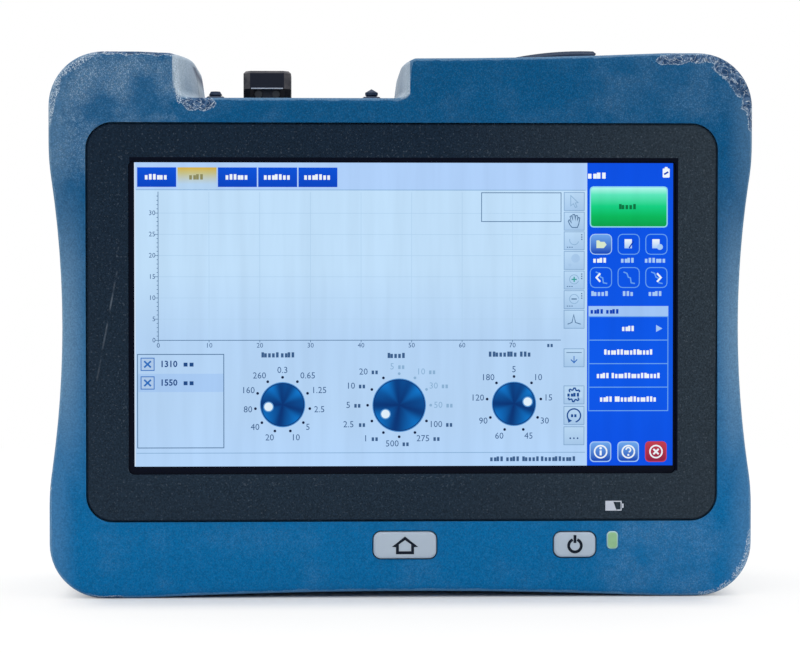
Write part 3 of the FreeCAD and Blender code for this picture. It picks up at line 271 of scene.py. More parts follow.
shellLook = {
    "blue": "#044e7c", "deepBlue": "#034874", "lowBlue": "#03649c", "haze": "#7f9fb8", "chalk": "#c3d0dc",
    # wall: pale grey-blue painted on the port bay's side walls as their reflection of the bright room
    "slate": "#4d6788", "nick": "#223a5c", "wall": "#a2b2c0", "crumb": "#5289b0",
    "roughness": 0.46, "gloss": 0.05, "grainHeight": 0.05, "clouds": 0.07,
    # how many millimetres apart the features of each pattern lie
    "grain": 0.5, "crumbs": 0.32, "nicks": 1.6, "streaks": 1.6, "scratches": 3.4, "edges": 4, "cloudSize": 11,
    "drift": 30,
    # brighter blue comes in between these two z; a painted sheen comes in at the waist between the z and x of
    # the next three, and on the flanks between the x of the last
    "lowBand": (110, 15), "waistRise": (22, 72), "waistFall": (128, 78), "waistSide": (86, 97),
    "flankSide": (91, 99.5),
    # strength of each layer
    "waistSheenShare": 0.55, "flankSheenShare": 0.2, "patchHaze": 0.6, "rimHaze": 0.3, "slateShare": 0.85,
    "chalkShare": 0.8,
    # knocked edges: two (x, z) places in mm and the reach of the damage beside the line between them
    "knocks": [
        ((87.6, 157.6), (102.1, 139.6), 3.0), ((97.6, 148), (101.8, 130), 2.1), ((71, 152.6), (96, 154), 1.3),
        ((-91, 155.6), (-62, 155.2), 1.4), ((-64.5, 141.0), (-51, 140.2), 2.0),
        ((100.2, 8), (100.5, 15), 1.3), ((-100.6, 29), (-100.1, 42), 1.1), ((-91, 0.1), (-78, -0.1), 0.8),
    ],
    # edges that are only scuffed chalky, written in the same way
    "scuffs": [
        ((-101, 132), (-96.5, 149.5), 0.9), ((-97.5, 147.5), (-85, 156.2), 0.9),
        ((-64.6, 158), (-62.9, 139.5), 0.6), ((84, 0), (90.5, 1.7), 0.8), ((89.5, 1.3), (94.7, 4.7), 0.8),
        ((94.2, 4.2), (98.6, 11), 0.8), ((98.2, 10), (99.8, 20), 0.7),
    ],
    # hazed places: (x, z), reach and strength
    "hazes": [
        ((-82, 143), 22, 0.34), ((-64, 148), 9, 0.34), ((-93, 128), 13, 0.2), ((84, 148), 16, 0.12),
        ((66, 146), 18, 0.1), ((92, 6), 12, 0.1), ((74, 13), 26, 0.13),
    ],
    # depths (y) between which the damage, and the painted reflection on the bay's walls, come in from nothing
    # to full
    "knockDepth": (-23, -31), "wallReflectionBack": (28, 20),
    # the painted reflection on the bay's side walls lies between two x and above one z; the dark seam runs
    # down the left wall
    "bay": {"x": (-65, 2.3), "z": 140.4}, "seam": ((-60.0, 152.5), (-56.6, 141.5)), "seamWidth": 0.5,
}


def patches(add, flat, wobble, spots):
    # the strongest of several round patches: 1 - distance / reach, with an edge broken by the wobble noise
    best = 0.0
    for (x, z), reach, share in spots:
        far = add("VectorMath", flat, (x * mm, 0, z * mm), operation="DISTANCE")
        near = add("Math", far, -1000 / reach, 1.0, operation="MULTIPLY_ADD")
        near = add("Math", near, wobble, operation="ADD")
        near = add("MapRange", near, 0.0, 0.6, 0.0, share, interpolation_type="SMOOTHSTEP")
        best = add("Math", near, best, operation="MAXIMUM")
    return best


def strokeMask(add, place, ends, width):
    # 1 on a straight line between two (x, z) places in mm, 0 at 'width' mm aside and past its ends
    (x0, z0), (x1, z1) = ends
    length = math.hypot(x1 - x0, z1 - z0)
    ux, uz = (x1 - x0) / length, (z1 - z0) / length
    along = add("VectorMath", place, (ux, 0, uz), operation="DOT_PRODUCT")
    along = add("Math", along, (ux * x0 + uz * z0 + length / 2) * mm, operation="SUBTRACT")
    inside = add("MapRange", add("Math", along, operation="ABSOLUTE"), length / 2 * mm,
                 max(length / 2 - width, 0) * mm, 0.0, 1.0)
    across = add("VectorMath", place, (-uz, 0, ux), operation="DOT_PRODUCT")
    across = add("Math", across, (-uz * x0 + ux * z0) * mm, operation="SUBTRACT")
    near = add("MapRange", add("Math", across, operation="ABSOLUTE"), 0.0, width * mm, 1.0, 0.0)
    return add("Math", near, inside, operation="MULTIPLY")


def knockedEdges(add, place, uneven, look, kind):
    # the strongest of the damaged lines, with noise-broken borders; they stay on the front half of the case
    best = 0.0
    for start, end, reach in look[kind]:
        near = add("Math", strokeMask(add, place, (start, end), 2 * reach), uneven, operation="ADD")
        best = add("Math", near, best, operation="MAXIMUM")
    gate = add("MapRange", add("SeparateXYZ", place, out="Y"), *metres(look["knockDepth"]), 0.0, 1.0)
    return add("Math", best, gate, operation="MULTIPLY")


def shellBlue(add, place, look):
    # blue that drifts between two tones, brighter low down, with a painted sheen at the waist and along the
    # flanks
    z, x = add("SeparateXYZ", place, out="Z"), add("SeparateXYZ", place, out="X")
    drift = add("TexNoise", {"Vector": place, "Scale": perMm(look["drift"]), "Detail": 5.0})
    low = add("MapRange", z, *metres(look["lowBand"]), 0.0, 1.0)
    aside = add("Math", x, operation="ABSOLUTE")
    bands = ((z, "waistRise", 1.0), (z, "waistFall", 1.0), (aside, "waistSide", look["waistSheenShare"]),
             (aside, "flankSide", look["flankSheenShare"]))
    rise, fall, outer, flank = (
        add("MapRange", value, *metres(look[band]), 0.0, full, interpolation_type="SMOOTHSTEP")
        for value, band, full in bands)
    waist = add("Math", add("Math", rise, fall, operation="MULTIPLY"), outer, operation="MULTIPLY")
    # painted sheen: the larger of the waist and flank masks
    waistSheen = add("Math", waist, flank, operation="MAXIMUM")
    colour = linear(look["blue"])
    for share, tint in ((drift, look["deepBlue"]), (low, look["lowBlue"]), (waistSheen, look["haze"])):
        colour = add("Mix", {"Factor": share, "A": colour, "B": linear(tint)}, data_type="RGBA")
    return colour


def rimMask(add, facing, rough):
    # 0 on the front face, 1 from where its rounding starts, and 0 again where the surface looks to the back
    towards = add("SeparateXYZ", facing, out="Y")
    rim = add("Math", rough, 0.6, towards, operation="MULTIPLY_ADD")
    rim = add("MapRange", rim, -0.54, -0.44, 0.0, 1.0)
    return add("Math", rim, add("MapRange", towards, 0.15, -0.25, 0.0, 1.0), operation="MULTIPLY")


def bayWalls(add, place, facing, look):
    # up to 1 on the port bay's two side walls, where the surface turns sideways, and 0 on the lip at the
    # back: the mask of the painted reflection that pales those walls
    x, z = add("SeparateXYZ", place, out="X"), add("SeparateXYZ", place, out="Z")
    turned = add("Math", add("SeparateXYZ", facing, out="X"), operation="ABSOLUTE")
    turned = add("MapRange", turned, 0.22, 0.5, 0.0, 1.0)
    left, right = look["bay"]["x"]
    within = add("Math", add("Math", x, left * mm, operation="GREATER_THAN"),
                 add("Math", x, right * mm, operation="LESS_THAN"), operation="MULTIPLY")
    above = add("Math", z, look["bay"]["z"] * mm, operation="GREATER_THAN")
    within = add("Math", within, above, operation="MULTIPLY")
    kept = add("MapRange", add("SeparateXYZ", place, out="Y"), *metres(look["wallReflectionBack"]), 0.0, 1.0)
    # streaks run down the painted reflection on the walls
    long = add("VectorMath", place, (1, 0.2, 0.15), operation="MULTIPLY")
    streak = add("TexNoise", {"Vector": long, "Scale": perMm(look["streaks"]), "Detail": 3.0})
    share = add("Math", add("Math", turned, within, operation="MULTIPLY"), kept, operation="MULTIPLY")
    return add("Math", share, add("MapRange", streak, 0.3, 0.7, 0.7, 1.0), operation="MULTIPLY")


def mouldedShell(name, look):
    # moulded PC/ABS, fine spark-eroded texture: matt blue that scuffs chalky at its rims and corners. A noise
    # lies around 0.5, so a narrow range about that gives a crisp pattern and a wide one a soft pattern.
    material, add, shader, place = startMaterial(name, look["gloss"])
    facing = add("TexCoord", out="Normal")
    flat = add("VectorMath", place, (1, 0, 1), operation="MULTIPLY")
    rough = add("TexNoise", {"Vector": place, "Scale": perMm(look["edges"]), "Detail": 6.0, "Roughness": 0.7})
    uneven = add("Math", rough, 1.1, -0.55, operation="MULTIPLY_ADD")
    rim = rimMask(add, facing, rough)
    knocked = knockedEdges(add, place, uneven, look, "knocks")
    worn = add("MapRange", knocked, 0.5, 0.56, 0.0, 1.0)
    # haze: round patches, and weak clouds everywhere
    cloud = add("TexNoise", {"Vector": place, "Scale": perMm(look["cloudSize"]), "Detail": 4.0})
    hazed = add("Math", patches(add, flat, uneven, look["hazes"]),
                add("MapRange", cloud, 0.38, 0.62, 0.25, 1.3), operation="MULTIPLY")
    hazed = add("Math", hazed, add("MapRange", cloud, 0.5, 0.72, 0.0, look["clouds"]), operation="MAXIMUM")
    # crumbs: specks of worn texture, denser where the surface is hazed and along the rims
    crumb = add("TexNoise", {"Vector": place, "Scale": perMm(look["crumbs"]), "Detail": 2.0})
    dense = add("Math", hazed, 0.7, 0.16, operation="MULTIPLY_ADD")
    dense = add("Math", dense, add("Math", rim, 0.35, operation="MULTIPLY"), operation="MAXIMUM")
    crumbs = add("Math", add("MapRange", crumb, 0.5, 0.68, 0.0, 1.0), dense, operation="MULTIPLY")
    pale = add("Mix", {"Factor": add("Math", hazed, 1.6, operation="MULTIPLY"), "A": linear(look["crumb"]),
                       "B": linear(look["chalk"])}, data_type="RGBA")
    # knocked edges: slate grey with dark nicks
    nicks = add("TexNoise", {"Vector": place, "Scale": perMm(look["nicks"]), "Detail": 3.0,
                             "Distortion": 1.0})
    bare = add("Mix", {"Factor": add("MapRange", nicks, 0.42, 0.58, 0.0, 1.0), "A": linear(look["nick"]),
                       "B": linear(look["slate"])}, data_type="RGBA")
    # chalk on them: scratches (thin ridges of a warped noise), the outline of the damage, and the scuffs
    warp = add("TexNoise", {"Vector": place, "Scale": perMm(look["scratches"]), "Detail": 4.0,
                            "Distortion": 2.0})
    ridge = add("Math", add("Math", warp, 0.5, operation="SUBTRACT"), operation="ABSOLUTE")
    scratch = add("MapRange", ridge, 0.016, 0.004, 0.0, 1.0)
    border = add("Math", add("Math", knocked, 0.5, operation="SUBTRACT"), operation="ABSOLUTE")
    border = add("MapRange", border, 0.06, 0.01, 0.0, 0.85)
    border = add("Math", border, add("MapRange", crumb, 0.42, 0.56, 0.0, 1.0), operation="MULTIPLY")
    scuffed = add("MapRange", knockedEdges(add, place, uneven, look, "scuffs"), 0.3, 0.6, 0.0, 0.9)
    scuffed = add("Math", scuffed, add("MapRange", crumb, 0.46, 0.6, 0.0, 1.0), operation="MULTIPLY")
    border = add("Math", border, scuffed, operation="MAXIMUM")
    chalky = add("Math", add("Math", scratch, worn, operation="MULTIPLY"), border, operation="MAXIMUM")
    # the layers, from the blue up: haze, rims, crumbs, the painted reflection on the bay walls, the seam
    # between the shells, knocks, chalk
    haze, wall, nick, chalk = (linear(look[ink]) for ink in ("haze", "wall", "nick", "chalk"))
    colour = shellBlue(add, place, look)
    for mask, strength, tint in ((hazed, look["patchHaze"], haze), (rim, look["rimHaze"], haze),
                                 (crumbs, 1.0, pale), (bayWalls(add, place, facing, look), 1.0, wall),
                                 (strokeMask(add, place, look["seam"], look["seamWidth"]), 1.0, nick),
                                 (worn, look["slateShare"], bare), (chalky, look["chalkShare"], chalk)):
        share = add("Math", mask, strength, operation="MULTIPLY")
        colour = add("Mix", {"Factor": share, "A": colour, "B": tint}, data_type="RGBA")
    # moulded grain: a little darker and lighter, drawn coarser than the real one so that it shows
    grain = add("TexNoise", {"Vector": place, "Scale": perMm(look["grain"]), "Detail": 2.0})
    shade = add("MapRange", grain, 0.35, 0.65, 0.86, 1.14)
    colour = add("VectorMath", colour, {"Scale": shade}, operation="SCALE")
    height = add("Math", chalky, 0.8, grain, operation="MULTIPLY_ADD")
    bump = add("Bump", {"Height": height, "Strength": 0.5, "Distance": look["grainHeight"] * mm})
    dull = add("Math", worn, 0.25, look["roughness"], operation="MULTIPLY_ADD")
    fill(shader, {"Base Color": colour, "Normal": bump, "Roughness": dull})
    return material


bezelLook = {
    "top": "#142231", "low": "#1f2c39", "right": "#2a343d", "fleck": "#7f8b99", "border": "#050a18",
    "roughness": 0.5, "gloss": 0.03, "grain": 0.45, "grainHeight": 0.06, "skips": 4, "dust": 0.6,
    "down": (134, 22), "across": (10, 90), "scratch": ((-80.2, 95.2), (-86.4, 61.7)), "scratchWidth": 0.35,
    "borderAt": (0.8, 80.5), "borderHalf": (78.0, 44.6),
}


def texturedBezel(name, look):
    # moulded black ABS, spark-eroded: matt and dusty, greyer low and to the right, with a long faint scratch
    material, add, shader, place = startMaterial(name, look["gloss"])
    x, z = add("SeparateXYZ", place, out="X"), add("SeparateXYZ", place, out="Z")
    down = add("MapRange", z, *metres(look["down"]), 0.0, 1.0)
    right = add("MapRange", x, *metres(look["across"]), 0.0, 1.0)
    colour = linear(look["top"])
    for share, tint in ((down, look["low"]), (right, look["right"])):
        colour = add("Mix", {"Factor": share, "A": colour, "B": linear(tint)}, data_type="RGBA")
    grain = add("TexNoise", {"Vector": place, "Scale": perMm(look["grain"]), "Detail": 2.0})
    shade = add("MapRange", grain, 0.3, 0.7, 0.7, 1.35)
    colour = add("VectorMath", colour, {"Scale": shade}, operation="SCALE")
    skips = add("TexNoise", {"Vector": place, "Scale": perMm(look["skips"]), "Detail": 3.0})
    line = add("Math", strokeMask(add, place, look["scratch"], look["scratchWidth"]),
               add("MapRange", skips, 0.4, 0.62, 0.0, 0.4), operation="MULTIPLY")
    dust = add("TexNoise", {"Vector": place, "Scale": perMm(look["dust"]), "Detail": 2.0})
    flecks = add("MapRange", dust, 0.6, 0.72, 0.0, 0.16)
    flecks = add("Math", line, flecks, operation="MAXIMUM")
    colour = add("Mix", {"Factor": flecks, "A": colour, "B": linear(look["fleck"])}, data_type="RGBA")
    # printed border: the larger of |x - cx| - half width and |z - cz| - half height is below zero inside it
    outside = []
    for value, at, half in zip((x, z), look["borderAt"], look["borderHalf"]):
        far = add("Math", add("Math", value, at * mm, operation="SUBTRACT"), operation="ABSOLUTE")
        outside.append(add("Math", far, half * mm, operation="SUBTRACT"))
    inside = add("Math", add("Math", *outside, operation="MAXIMUM"), 0.0, operation="LESS_THAN")
    colour = add("Mix", {"Factor": inside, "A": colour, "B": linear(look["border"])}, data_type="RGBA")
    bump = add("Bump", {"Height": grain, "Strength": 0.6, "Distance": look["grainHeight"] * mm})
    fill(shader, {"Base Color": colour, "Normal": bump, "Roughness": look["roughness"]})
    return material


capLook = {
    # bevel: paler, warmer tone painted on the slanted edges as reflection; under: painted shade below the
    # ledge; scuffs: spacing of the noise that breaks up the painted sheen
    "front": "#1b202d", "bevelReflection": "#5d5a5c", "under": "#070910", "ledge": 146.7,
    "grain": 0.5, "grainHeight": 0.03, "scuffs": 2.5, "roughness": 0.4, "gloss": 0.12,
}


def handledNylon(name, look):
    # moulded nylon, satin black: its slanted edges painted paler and warmer as reflection, its top painted
    # paler as highlight, and painted shade below the ledge
    material, add, shader, place = startMaterial(name, look["gloss"])
    facing = add("TexCoord", out="Normal")
    # the slanted edges get a painted reflection and the upward faces a painted highlight, broken up by noise
    turned = add("Math", add("SeparateXYZ", facing, out="X"), operation="ABSOLUTE")
    slant = add("MapRange", turned, 0.3, 0.55, 0.0, 1.0)
    slant = add("Math", slant, add("MapRange", turned, 0.98, 0.85, 0.0, 1.0), operation="MULTIPLY")
    top = add("MapRange", add("SeparateXYZ", facing, out="Z"), 0.3, 0.7, 0.0, 0.5)
    capSheenBreak = add("TexNoise", {"Vector": place, "Scale": perMm(look["scuffs"]), "Detail": 5.0})
    capSheenBreak = add("MapRange", capSheenBreak, 0.3, 0.6, 0.4, 1.0)
    capSheen = add("Math", add("Math", slant, top, operation="MAXIMUM"), capSheenBreak, operation="MULTIPLY")
    # everything below the ledge is painted dark as shade
    low = add("Math", add("SeparateXYZ", place, out="Z"), look["ledge"] * mm, operation="LESS_THAN")
    colour = linear(look["front"])
    for share, tint in ((capSheen, look["bevelReflection"]), (low, look["under"])):
        colour = add("Mix", {"Factor": share, "A": colour, "B": linear(tint)}, data_type="RGBA")
    grain = add("TexNoise", {"Vector": place, "Scale": perMm(look["grain"]), "Detail": 2.0})
    bump = add("Bump", {"Height": grain, "Strength": 0.5, "Distance": look["grainHeight"] * mm})
    fill(shader, {"Base Color": colour, "Normal": bump, "Roughness": look["roughness"]})
    return material


lampLook = {
    "middle": "#86b584", "rim": "#a6cdd0", "low": "#7fb2b8", "gap": "#16405f",
    "window": (3.2, 5.1), "radius": 1.3, "rimWidth": 0.48, "soft": 0.1, "cloudSize": 1.2,
    "roughness": 0.2, "coat": 0.3,
}


def lampAcrylic(name, look):
    # tinted acrylic light pipe: yellow-green where the lamp shows through, paler and bluer along its rim;
    # inward = radius - length(max(distance from the middle - half the window + radius, 0))
    material, add, shader, place = startMaterial(name)
    lo, hi = [np.array(corner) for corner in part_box("status_light")]
    middle = (hi + lo) / 2
    core = [(side / 2 - look["radius"]) * mm for side in look["window"]]
    away = add("VectorMath", place, tuple(middle), operation="SUBTRACT")
    away = add("VectorMath", away, operation="ABSOLUTE")
    past = add("VectorMath", away, (core[0], 1.0, core[1]), operation="SUBTRACT")
    past = add("VectorMath", add("VectorMath", past, (0, 0, 0), operation="MAXIMUM"), operation="LENGTH")
    inward = add("Math", look["radius"] * mm, past, operation="SUBTRACT")
    rim = add("MapRange", inward, look["rimWidth"] * mm, look["soft"] * mm, 0.0, 1.0,
              interpolation_type="SMOOTHSTEP")
    foot = middle[2] - look["window"][1] / 2 * mm
    below = add("MapRange", add("SeparateXYZ", place, out="Z"), middle[2], foot, 0.0, 1.0)
    edge = add("Mix", {"Factor": below, "A": linear(look["rim"]), "B": linear(look["low"])}, data_type="RGBA")
    outside = add("MapRange", inward, 0.0, -look["soft"] * mm, 0.0, 1.0)
    colour = linear(look["middle"])
    for share, tint in ((rim, edge), (outside, linear(look["gap"]))):
        colour = add("Mix", {"Factor": share, "A": colour, "B": tint}, data_type="RGBA")
    cloud = add("TexNoise", {"Vector": place, "Scale": perMm(look["cloudSize"]), "Detail": 3.0})
    shade = add("MapRange", cloud, 0.3, 0.7, 0.95, 1.05)
    colour = add("VectorMath", colour, {"Scale": shade}, operation="SCALE")
    fill(shader, {"Base Color": colour, "Roughness": look["roughness"], "Coat Weight": look["coat"]})
    return material


finishes["tintedAcrylic"] = lampAcrylic("tintedAcrylic", lampLook)
finishes["capNylon"] = handledNylon("capNylon", capLook)
finishes["bezelAbs"] = texturedBezel("bezelAbs", bezelLook)
finishes["shellPlastic"] = mouldedShell("shellPlastic", shellLook)

finishOf = {
    "shellPlastic": "front_shell rear_shell battery_cover",
    "bezelAbs": "screen_bezel",
    "epdmSeal": "case_gasket rear_bumpers kickstand_feet",
    "siliconeKey": "home_button power_button",
    "tintedAcrylic": "status_light",
    "hardCoatedFilm": "touch_panel",
    "capNylon": "dust_cap",
    "adapterNylon": "otdr_adapter lan_jack dc_jack speaker",
    "tpeRubber": "power_meter_cap fault_laser_cap usb_door side_cover",
    "nickelBrass": "power_meter_port fault_laser_port ferrule_holder port_plate usb_sockets",
    "zincSteel": "lcd_module lcd_bracket usb_door_pin dust_cap_pin kickstand_pins",
    "blackZincSteel": "case_screws port_plate_screws adapter_screws battery_cover_screws",
    "castAluminium": "optical_module",
    "solderMask": "main_board keypad_board io_board side_board",
    "batteryFilm": "battery_pack",
    "glassNylon": "kickstand",
    "acetalBlack": "stylus",
}


dressing = {"weld": 0.002, "angle": 32}


def dressNode(name, material):
    # a CAD node keeps its mesh: its loose triangles are welded (in mm) and shaded by modifiers alone
    obj = node[name]
    for slot in obj.material_slots:
        slot.material = material
    obj.data.polygons.foreach_set("use_smooth", [True] * len(obj.data.polygons))
    weld = obj.modifiers.new("weld", "WELD")
    weld.merge_threshold = dressing["weld"] * mm
    split = obj.modifiers.new("split", "EDGE_SPLIT")
    split.split_angle = math.radians(dressing["angle"])
    normals = obj.modifiers.new("normals", "WEIGHTED_NORMAL")
    normals.weight = 100


for finish, names in finishOf.items():
    for name in names.split():
        dressNode(name, finishes[finish])


# Keys and marks. 'back' is how far behind the bezel's face a key's flange starts.
keys = {
    "home": {"node": "home_button", "slot": "key_grey", "back": 3.8, "flange": 1.3, "lip": 1.0,
             "radius": 2.1, "edge": 0.85, "crown": 0.1},
    "power": {"node": "power_button", "slot": "key_grey", "back": 3.8, "flange": 1.3, "lip": 1.0,
              "radius": 2.1, "edge": 0.85, "crown": 0.1},
}


def mmBox(name):
    lo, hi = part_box(name)
    return np.array(lo) / mm, np.array(hi) / mm


def shadeByAngle(piece, angle=40):
    split = piece.modifiers.new("split", "EDGE_SPLIT")
    split.split_angle = math.radians(angle)


def softKey(look):
    # back to front: the flange's outline, a step in to the key's, then a quarter round and a low crown
    lo, hi = mmBox(look["node"])
    cx, cz = (lo[0] + hi[0]) / 2, (lo[2] + hi[2]) / 2
    flange, radius, front = look["flange"], look["radius"], lo[1]
    width, height = hi[0] - lo[0] - 2 * flange, hi[2] - lo[2] - 2 * flange
    back = mmBox("screen_bezel")[0][1] + look["back"]
    key = softPlate(cx, cz, width, height, radius, back, front, look["edge"], look["crown"])
    outline = roundedOutline(cx, cz, width + 2 * flange, height + 2 * flange, radius + flange)
    return joinParts([key, prism(outline, back, back + look["lip"])])[:2], (cx, cz, front)


def addKeys():
    # the rounded keys take the place of their nodes; gives the middle of each key's face
    centres = {}
    for name, look in keys.items():
        (verts, faces), centres[name] = softKey(look)
        piece = addPiece(name + "Key", verts, faces, finishes["siliconeKey"], look["node"], look["slot"])
        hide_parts(look["node"])
        shadeByAngle(piece)
    return centres


houseLook = {"width": 5.5, "roof": 2.0, "wall": 2.1, "inset": 0.6, "eave": 0.1, "stroke": 0.82, "thick": 0.03}
powerLook = {"radius": 1.8, "gap": 0.36, "bar": (0.75, 3.0), "drop": 0.25, "stroke": 0.82, "thick": 0.03}


def addHouseMark(look, centre):
    # printed house outline: roof, eaves and walls in one closed line
    cx, cz, front = centre
    front -= keys["home"]["crown"] + look["thick"]
    half, wall = look["width"] / 2, look["width"] / 2 - look["inset"]
    top, eave, foot = cz + look["roof"], cz - look["eave"], cz - look["wall"]
    house = [(cx - half, eave), (cx, top), (cx + half, eave), (cx + wall, eave), (cx + wall, foot),
             (cx - wall, foot), (cx - wall, eave)]
    mark = strokeSlab(house, look["stroke"], front, front + 4 * look["thick"], closed=True)
    addPiece("houseMark", *mark, finishes["keyInk"], "home_button", "bezel_black", smooth=False)


def addPowerMark(look, centre):
    # printed power sign: a ring open at the top with a bar in the gap
    cx, cz, front = centre
    front -= keys["power"]["crown"] + look["thick"]
    cz -= look["drop"]
    angle = np.linspace(math.pi / 2 + look["gap"], math.pi * 2.5 - look["gap"], 40)
    ring = onCircle(cx, cz, look["radius"], angle)
    bar = [(cx, cz + z) for z in look["bar"]]
    parts = [strokeSlab(line, look["stroke"], front, front + 4 * look["thick"]) for line in (ring, bar)]
    addPiece("powerMark", *joinParts(parts)[:2], finishes["keyInk"], "power_button", "bezel_black",
             smooth=False)


batteryLook = {
    "x": (58.0, 63.2), "z": (24.6, 27.4), "nose": 0.7, "noseHalf": 0.6, "cut": 2.2, "slant": 1.0, "gap": 0.9,
    "stroke": 0.3, "proud": 0.02, "thick": 0.1,
}


def addBatteryMark(look):
    # printed battery: a block cut off on a slant, the open outline that goes on from it, and the nose
    front = mmBox("screen_bezel")[0][1] - look["proud"]
    back = front + look["thick"]
    (x0, x1), (z0, z1) = look["x"], look["z"]
    cut, end, middle = x0 + look["cut"], x1 - look["nose"], (z0 + z1) / 2
    half, low, high = look["stroke"] / 2, middle - look["noseHalf"], middle + look["noseHalf"]
    block = [(x0, z0), (cut + look["slant"], z0), (cut, z1), (x0, z1)]
    outline = [(cut, z1 - half), (end, z1 - half), (end, z0 + half), (cut + look["gap"], z0 + half)]
    nose = [(end, low), (x1, low), (x1, high), (end, high)]
    parts = [prism(block, front, back), strokeSlab(outline, look["stroke"], front, back),
             prism(nose, front, back)]
    addPiece("batteryMark", *joinParts(parts)[:2], finishes["paleInkAndHighlight"], "case", "bezel_black", smooth=False)


ledgeHighlightLook = {"z": 146.8, "half": 4.7, "width": 0.32, "depth": 0.6, "proud": 0.05}


def addCapLedge(look):
    # the cap's finger ledge: a thin bead across its front, pale as a painted highlight
    lo, hi = mmBox("dust_cap")
    middle = (lo[0] + hi[0]) / 2
    front = lo[1] - look["proud"]
    ends = [(middle - look["half"], look["z"]), (middle + look["half"], look["z"])]
    bead = strokeSlab(ends, look["width"], front, front + look["depth"])
    addPiece("capLedgeHighlight", *bead, finishes["paleInkAndHighlight"], "dust_cap", "cap_dark", smooth=False)


# pale printing ink: flat and matt; the same tone is the painted highlight on the cap's ledge
finishes["paleInkAndHighlight"] = plainFinish("paleInkAndHighlight", "#c3cad8", "#b4bccb", 1.0, 0.002, 0.5, gloss=0.2)
# dark printing ink of the keys: flat, matt, nearly black
finishes["keyInk"] = plainFinish("keyInk", "#0d1522", "#131d2b", 1.0, 0.002, 0.5, gloss=0.1)
keyCentres = addKeys()
addHouseMark(houseLook, keyCentres["home"])
addPowerMark(powerLook, keyCentres["power"])
addBatteryMark(batteryLook)
addCapLedge(ledgeHighlightLook)
print("keys")


# The picture behind the touch panel is drawn as thin coloured slabs. Its places are millimetres from the top
# left corner of the lit area: u runs right and v runs down. graph: left, floor and right; tile: left, width
# and height; column: left and pitch; legend and list: left, top, right and foot.
display = {
    "centre": (0.8, 80.5), "size": (153.5, 86.4), "proud": 0.02, "step": 0.012,
    "text": 1.85, "smallText": 1.4, "capShare": 1.38, "rules": (7.75, 82.6), "menu": 128.9,
    "tab": {"left": 0.85, "pitch": 11.43, "width": 11.05, "top": 1.4, "low": 6.95, "letters": (6, 4, 6, 7, 7),
            "chosen": 1},
    "graph": (6.75, 50.5, 121.4), "graphTop": 8.4, "tickUp": 6.02, "tickAcross": 14.4,
    "legend": (98.7, 8.5, 121.4, 16.7), "list": (0.85, 54.5, 25.3, 81.1),
    "tile": (122.3, 5.75, 5.15), "tileTops": [8.4 + 5.6 * i for i in range(7)] + [53.0, 63.6, 69.5, 75.3],
    "column": (129.7, 7.95), "button": 6.2, "tileRows": (20.2, 29.7), "roundRow": 79.5,
    "listTop": 43.8, "listPitch": 6.73, "listWords": ((4,), (15,), (4, 15), (4, 13)),
}
# each dial: centre, radius, reach of its dots, place of its pointer, its numbers, and how many are greyed
dials = [
    {"at": (42.0, 68.85), "radius": 6.15, "reach": 7.8, "pointer": (-4.0, 0.6), "grey": 0, "unit": 0,
     "numbers": "0.3 0.65 1.25 2.5 5 10 20 40 80 160 260", "title": (5, 4)},
    {"at": (75.2, 69.05), "radius": 7.35, "reach": 9.0, "pointer": (-3.9, 2.5), "grey": 4, "unit": 2,
     "numbers": "5 10 30 50 100 275 500 1 2.5 5 10 20", "title": (5,)},
    {"at": (108.0, 68.7), "radius": 6.05, "reach": 7.8, "pointer": (3.9, -0.6), "grey": 0, "unit": 0,
     "numbers": "5 10 15 30 45 60 90 120 180", "title": (8, 3)},
]
inks = {
    "paleTop": "#b2d3fd", "graph": "#c3e2fd", "graphLow": "#b6d6f8", "status": "#b6d8fe", "edge": "#d5e6fb",
    "line": "#52769c", "softLine": "#8db4da", "grid": "#b4d5f2", "text": "#3b5f8c", "boldText": "#1f4a86",
    "faint": "#8db3d6", "blue": "#0450e6", "blueLow": "#0559ec", "deepBlue": "#0340b8",
    "tabBlue": "#0552da", "tabLow": "#0345c4", "tabYellow": "#d9b43c", "tabMid": "#c9c489",
    "tabPale": "#b6d6f5", "tabInk": "#8d8b5e", "white": "#f2f9ff", "soft": "#a9cdf8", "menuLine": "#6aa6f0",
    "menuHead": "#a3c8f9", "startTop": "#b4fbf4", "startHigh": "#5ce9bd", "startMid": "#12d285",
    "startLow": "#02b95c", "startEnd": "#05a04c", "startInk": "#07713f", "rim": "#8fd8f0", "row": "#a9ccf6",
    "dialDark": "#023274", "dialLight": "#0b78cf", "dialRim": "#4a8fd0", "dot": "#e2f2fe", "halo": "#5e9bd4",
    "mark": "#0b1c40", "tile": "#bcdcf9", "tileLow": "#a9cbee", "tileLine": "#84a9cf", "box": "#b1cdee",
    "cross": "#2f6fc0", "red": "#c43f50", "redLow": "#8f1f44", "buttonTop": "#6fa9f0", "buttonLow": "#0642b4",
    "folder": "#dceccf", "plus": "#2f9f96", "autoInk": "#1c4f96",
}


